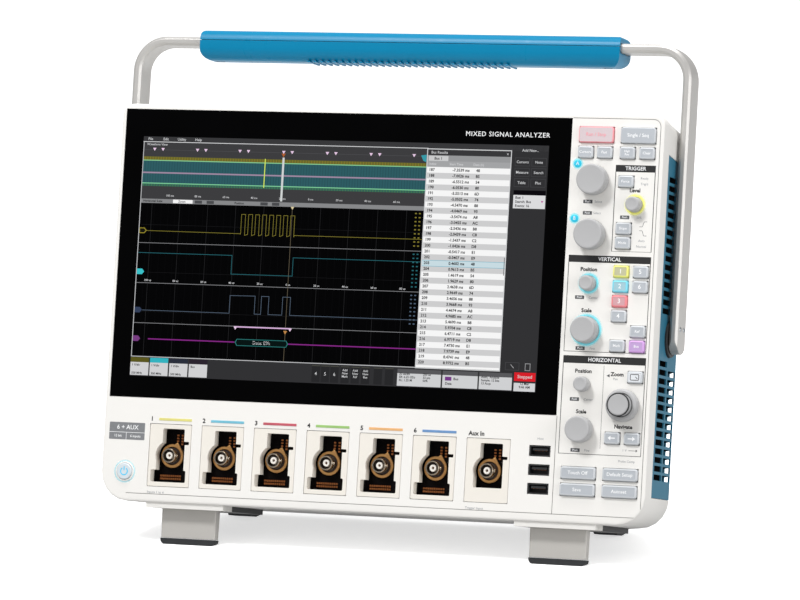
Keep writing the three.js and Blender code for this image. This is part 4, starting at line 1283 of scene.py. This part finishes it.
def makeVent(word, way):
    v = ventShape
    across = sorted([start + step for start in v["starts"] for step in (0, v["long"])] + [v["shoulder"]])
    upward = [v["first"] + v["pitch"] * row + step
              for row in range(v["rows"]) for step in (-v["tall"] / 2, v["tall"] / 2)]
    ys = [0] + across + [1]
    zs = [0] + upward + [1]
    deselect()
    bpy.ops.mesh.primitive_grid_add(x_subdivisions=len(ys) - 1, y_subdivisions=len(zs) - 1, size=1)
    panelPiece = bpy.context.object
    columns = len(ys)
    for index, vertex in enumerate(panelPiece.data.vertices):
        i, k = index % columns, index // columns
        low = v["low"]
        share = 0 if k == 0 else (1 if k == len(zs) - 1 else (zs[k] - low) / (v["high"] - low))
        frontEdge = v["frontLow"] + (v["frontHigh"] - v["frontLow"]) * share
        y = frontEdge if i == 0 else (v["back"] if i == columns - 1 else ys[i])
        top = v["high"] - (v["high"] - v["backHigh"]) * (y - v["frontHigh"]) / (v["back"] - v["frontHigh"])
        z = low if k == 0 else (top if k == len(zs) - 1 else zs[k])
        vertex.co = (way * (wallAt(y) - 0.2), y, z)

    def inSlot(centre, _):
        rowsUp = (centre.z - v["first"]) / v["pitch"]
        inRow = abs(rowsUp - round(rowsUp)) < 0.3
        inColumn = any(start < centre.y < start + v["long"] for start in v["starts"])
        rowMiddle = v["first"] - 3 < centre.z < v["first"] + v["pitch"] * (v["rows"] - 0.5)
        start = next((s for s in v["starts"] if s < centre.y < s + v["long"]), v["starts"][0])
        awayY = max(start - stance["hub"][1], stance["hub"][1] - start - v["long"], 0)
        awayZ = max(abs(centre.z - stance["hub"][2]) - v["tall"] / 2, 0)
        return inRow and inColumn and rowMiddle and math.hypot(awayY, awayZ) > 15.6

    pickFaces(panelPiece, inSlot)
    bpy.ops.mesh.delete(type="FACE")
    outward()
    lookingAlong(panelPiece, (way, 0, 0))
    body = panelPiece.modifiers.new("thickness", "SOLIDIFY")
    body.thickness = v["thick"]
    body.offset = -1
    applied(panelPiece, body)
    deselect()
    bpy.ops.mesh.primitive_cylinder_add(vertices=56, radius=12.7, depth=40, rotation=(0, math.pi / 2, 0),
                                        location=(way * 195, stance["hub"][1], stance["hub"][2]))
    cut(panelPiece, keepPlace(bpy.context.object))
    soften(panelPiece, 0.22, 1, 40)
    settle(panelPiece, "ventPanel" + word, "case", finishes["vent"], ["vent_" + word.lower()])
    # a near-black sheet inside the case behind the slots stands in for the shade seen through them: painted
    # shade
    shadeSheetPath = [(y, wallAt(y) - 6.2) for y in (14, 60, 92)]
    sides = ([(way * half, y) for y, half in shadeSheetPath]
             + [(way * (half - 1.2), y) for y, half in shadeSheetPath[::-1]])
    shadeSheet = thickened(drawn([(x, y, 16) for x, y in sides], True), (0, 0, 234))
    settle(shadeSheet, "ventShadeSheet" + word, "case", finishes["shadeSheet"])


makeVent("Left", -1)
makeVent("Right", 1)
print("vents ready")


# handle
handleShape = dict(y=40, z=127, outer=202.7, gripLow=308.4, seam=322.2, ribPitch=4.8, ribs=31, recess=141)


def halfOfGrip(keepUpper):
    piece = nodeCopy("handle_grip", 0)
    editAll()
    lift = 0.18 if keepUpper else -0.18
    bpy.ops.mesh.bisect(plane_co=(0, 0, handleShape["seam"] + lift), plane_no=(0, 0, 1), use_fill=True,
                        clear_inner=keepUpper, clear_outer=not keepUpper)
    outward()
    return soften(piece, 0.45, 3, 25)


def makeHandle():
    h = handleShape
    frameBar = nodeCopy("handle_frame", 0.8, 3, 24)
    settle(frameBar, "handleBar", "handle", finishes["bar"], ["handle_frame"], 32)
    settle(halfOfGrip(True), "gripUpper", "handle", finishes["grip"], ["handle_grip"], 32)
    settle(halfOfGrip(False), "gripLower", "handle", finishes["grip"], (), 32)
    start = -h["ribPitch"] * (h["ribs"] - 1) / 2
    ribs = [block((start + h["ribPitch"] * n - 0.9, start + h["ribPitch"] * n + 0.9),
                  (h["y"] - 10.5, h["y"] + 10.5), (h["gripLow"] - 0.55, h["gripLow"] + 0.6), 0.4, 2)
            for n in range(h["ribs"])]
    settle(joined(ribs), "gripRibs", "handle", finishes["grip"])
    cups = [turned([(0, 0.3), (2.2, 0.3), (2.4, -0.05), (2.9, -0.1), (3.0, 0.4), (0, 0.4)],
                   (way * h["recess"], h["y"], h["gripLow"]), 28, "below") for way in (-1, 1)]
    settle(joined(cups), "gripScrewCups", "handle", finishes["dark"])
    for word, way in (("Left", -1), ("Right", 1)):
        (h0, h1), _, _ = uprightBox("handle_hub_" + word.lower())
        inner, outer = (h0, h1) if way > 0 else (-h1, -h0)
        hub = turned([(0, 0), (12.0, 0), (12.3, 0.3), (12.3, outer - inner - 0.1), (0, outer - inner - 0.1)],
                     (way * outer, h["y"], h["z"]), 56, word.lower())
        settle(hub, "handleHub" + word, "handle", finishes["dark"],
               ["handle_hub_" + word.lower()])
        places = [(way * h["outer"], h["y"] + dy, h["z"] + 6.5) for dy in (-4, 4)]
        screws("armScrews" + word, places, 1.7, word.lower(), "handle", finishes["sheet"])


makeHandle()
print("handle ready")


# legs and feet
def roundEdges(piece, test, width, segments=4):
    # rounds only the edges whose two ends pass the test
    choose(piece)
    bpy.ops.object.mode_set(mode="EDIT")
    bpy.ops.mesh.select_mode(type="EDGE")
    bpy.ops.mesh.select_all(action="DESELECT")
    bpy.ops.object.mode_set(mode="OBJECT")
    points = piece.data.vertices
    for edge in piece.data.edges:
        edge.select = test(points[edge.vertices[0]].co, points[edge.vertices[1]].co)
    bpy.ops.object.mode_set(mode="EDIT")
    bpy.ops.mesh.bevel(offset=width, segments=segments)
    bpy.ops.object.mode_set(mode="OBJECT")
    return piece


def makeLegs():
    for word in ("left", "right"):
        leg = nodeCopy("leg_" + word, 0)
        roundEdges(leg, lambda a, b: max(abs(a.x - b.x), abs(a.y - b.y)) < 0.1 and abs(a.z - b.z) > 12, 1.6)
        soften(leg, 0.4, 2)
        settle(leg, "legBar" + word.title(), "leg_" + word, finishes["leg"], ["leg_" + word])
        tip = nodeCopy("leg_tip_" + word, 0.5, 3)
        settle(tip, "legTip" + word.title(), "leg_" + word, finishes["rubber"], ["leg_tip_" + word])
        foot = nodeCopy("rear_foot_" + word, 0.8, 3)
        settle(foot, "rearFoot" + word.title(), "case", finishes["rubber"], ["rear_foot_" + word])


makeLegs()
print("legs ready")


# back
def makeBack():
    plate = nodeCopy("rear_panel", 0.25, 2, 40)
    settle(plate, "rearPanelPlate", "case", finishes["sheet"], ["rear_panel"])
    inletPiece = nodeCopy("power_inlet", 0.3, 2, 40)
    settle(inletPiece, "powerInletBody", "case", finishes["dark"], ["power_inlet"])
    labels = [("LAN", -8, 60), ("Host", -34, 63), ("Device", -56, 58), ("Video Out", 18, 57),
              ("Video", 50, 58), ("Ref In", -100, 36.5), ("Aux Out", -84, 36.5), ("AFG Out", -68, 36.5),
              ("100-240 V  50/60 Hz", 92, 54)]
    rows = [(text, x, z, 2.2, "CENTER") for text, x, z in labels]
    settle(words(rows, rear["face"] + 0.04, 0.01, facing="back"), "rearWords", "case", finishes["inkBlack"])
    places = [(x, rear["face"], z) for x in (-113, 113) for z in (18, 62)]
    screws("rearPanelScrews", places, 2.2, "back", "case", finishes["sheet"])
    shellPlaces = [(x, rear["back"], z) for x in (-150, 150) for z in (90, 238)]
    screws("rearShellScrews", shellPlaces, 2.6, "back", "case", finishes["sheet"])
    label = slab(roundBox(96, 140, 96, 150, 1.5, 3), rear["back"] + 0.05, rear["back"])
    settle(label, "rearLabel", "case", finishes["inkGrey"])
    lines = [(text, 136, 144 - 5.2 * row, 2.2, "LEFT") for row, text in enumerate((
        "Signal analyzer", "Input 100-240 V", "50/60 Hz  400 W", "Service by trained", "staff only",
        "Keep side vents clear"))]
    settle(words(lines, rear["back"] + 0.09, 0.01, facing="back"), "rearLabelWords", "case",
           finishes["inkBlack"])
    inserts = [turned([(2.1, 3), (2.1, -0.1), (2.4, -0.35), (3.6, -0.35), (3.9, 0.1), (3.9, 3), (2.1, 3)],
                      (x, rear["back"], z), 32, "back") for x in (-50, 50) for z in (105, 205)]
    settle(joined(inserts), "bracketInserts", "case", finishes["gold"])


makeBack()

# nodes that stay
for nodeName, finish in dict(lcd_module="sheet", chassis="sheet", main_board="board", power_supply="sheet",
                             fan_housing="dark", fan_rotor="dark").items():
    nodes[nodeName].data.materials.clear()
    nodes[nodeName].data.materials.append(finishes[finish])
print("back ready")


# floor, light and camera
studio = dict(aim=(0.0063, -0.0353, 0.1672), distance=3.33, azimuth=20.13, elevation=7.78, roll=-0.83,
              lens=220.5, floorSize=40, floorGlow=0.62, world=0.5)


def makeFloor():
    deselect()
    bpy.ops.mesh.primitive_plane_add(size=studio["floorSize"], location=(0, 0, 0))
    floor = bpy.context.object
    floor.name = "studioFloor"
    material, tree, shader = startMaterial("paleFloor")
    surface = placeGroup(tree, handled, Drift_Scale=2, Grain_Scale=400)
    pale = blendColours(tree, surface.outputs["Drift"], tone("F4F4F4"), tone("FAFAFA"))
    paths = tree.nodes.new("ShaderNodeLightPath")
    seen = paths.outputs["Is Camera Ray"]
    bright = tree.nodes.new("ShaderNodeMath")
    bright.operation = "MAXIMUM"
    tree.links.new(seen, bright.inputs[0])
    tree.links.new(paths.outputs["Is Glossy Ray"], bright.inputs[1])
    tree.links.new(blendColours(tree, seen, tone("A2A2A2"), pale), shader.inputs["Base Color"])
    tree.links.new(spread(tree, bright.outputs["Value"], 0, studio["floorGlow"]),
                   shader.inputs["Emission Strength"])
    shader.inputs["Emission Color"].default_value = (1, 1, 1, 1)
    shader.inputs["Roughness"].default_value = 0.9
    floor.data.materials.append(material)


def addLight(name, place, size, power, aim=(0, 0, 0.15)):
    deselect()
    bpy.ops.object.light_add(type="AREA", location=place)
    lamp = bpy.context.object
    lamp.name = name
    lamp.data.size = size
    lamp.data.energy = power
    lamp.rotation_euler = (Vector(aim) - Vector(place)).to_track_quat("-Z", "Y").to_euler()


def makeStudio():
    makeFloor()
    addLight("keyLight", (-0.9, -1.9, 3.0), 0.7, 76)
    addLight("topLight", (0.2, 0.1, 3.2), 1.4, 58)
    addLight("sideLight", (3.0, -1.1, 0.7), 1.4, 30)
    world = bpy.data.worlds.new("studioWorld")
    bpy.context.scene.world = world
    world.use_nodes = True
    sky = world.node_tree.nodes["Background"]
    sky.inputs["Color"].default_value = (1, 1, 1, 1)
    sky.inputs["Strength"].default_value = studio["world"]
    bpy.context.scene.view_settings.view_transform = "Standard"


def makeCamera():
    azimuth, elevation = math.radians(studio["azimuth"]), math.radians(studio["elevation"])
    away = Vector((math.sin(azimuth) * math.cos(elevation), -math.cos(azimuth) * math.cos(elevation),
                   math.sin(elevation)))
    deselect()
    bpy.ops.object.camera_add(location=Vector(studio["aim"]) + away * studio["distance"])
    camera = bpy.context.object
    look = (-away).to_track_quat("-Z", "Y").to_matrix().to_4x4()
    turn = look @ Matrix.Rotation(math.radians(studio["roll"]), 4, "Z")
    camera.rotation_euler = turn.to_euler()
    camera.data.lens = studio["lens"]
    camera.data.clip_end = 100
    bpy.context.scene.camera = camera


makeStudio()
makeCamera()
print("studio ready")
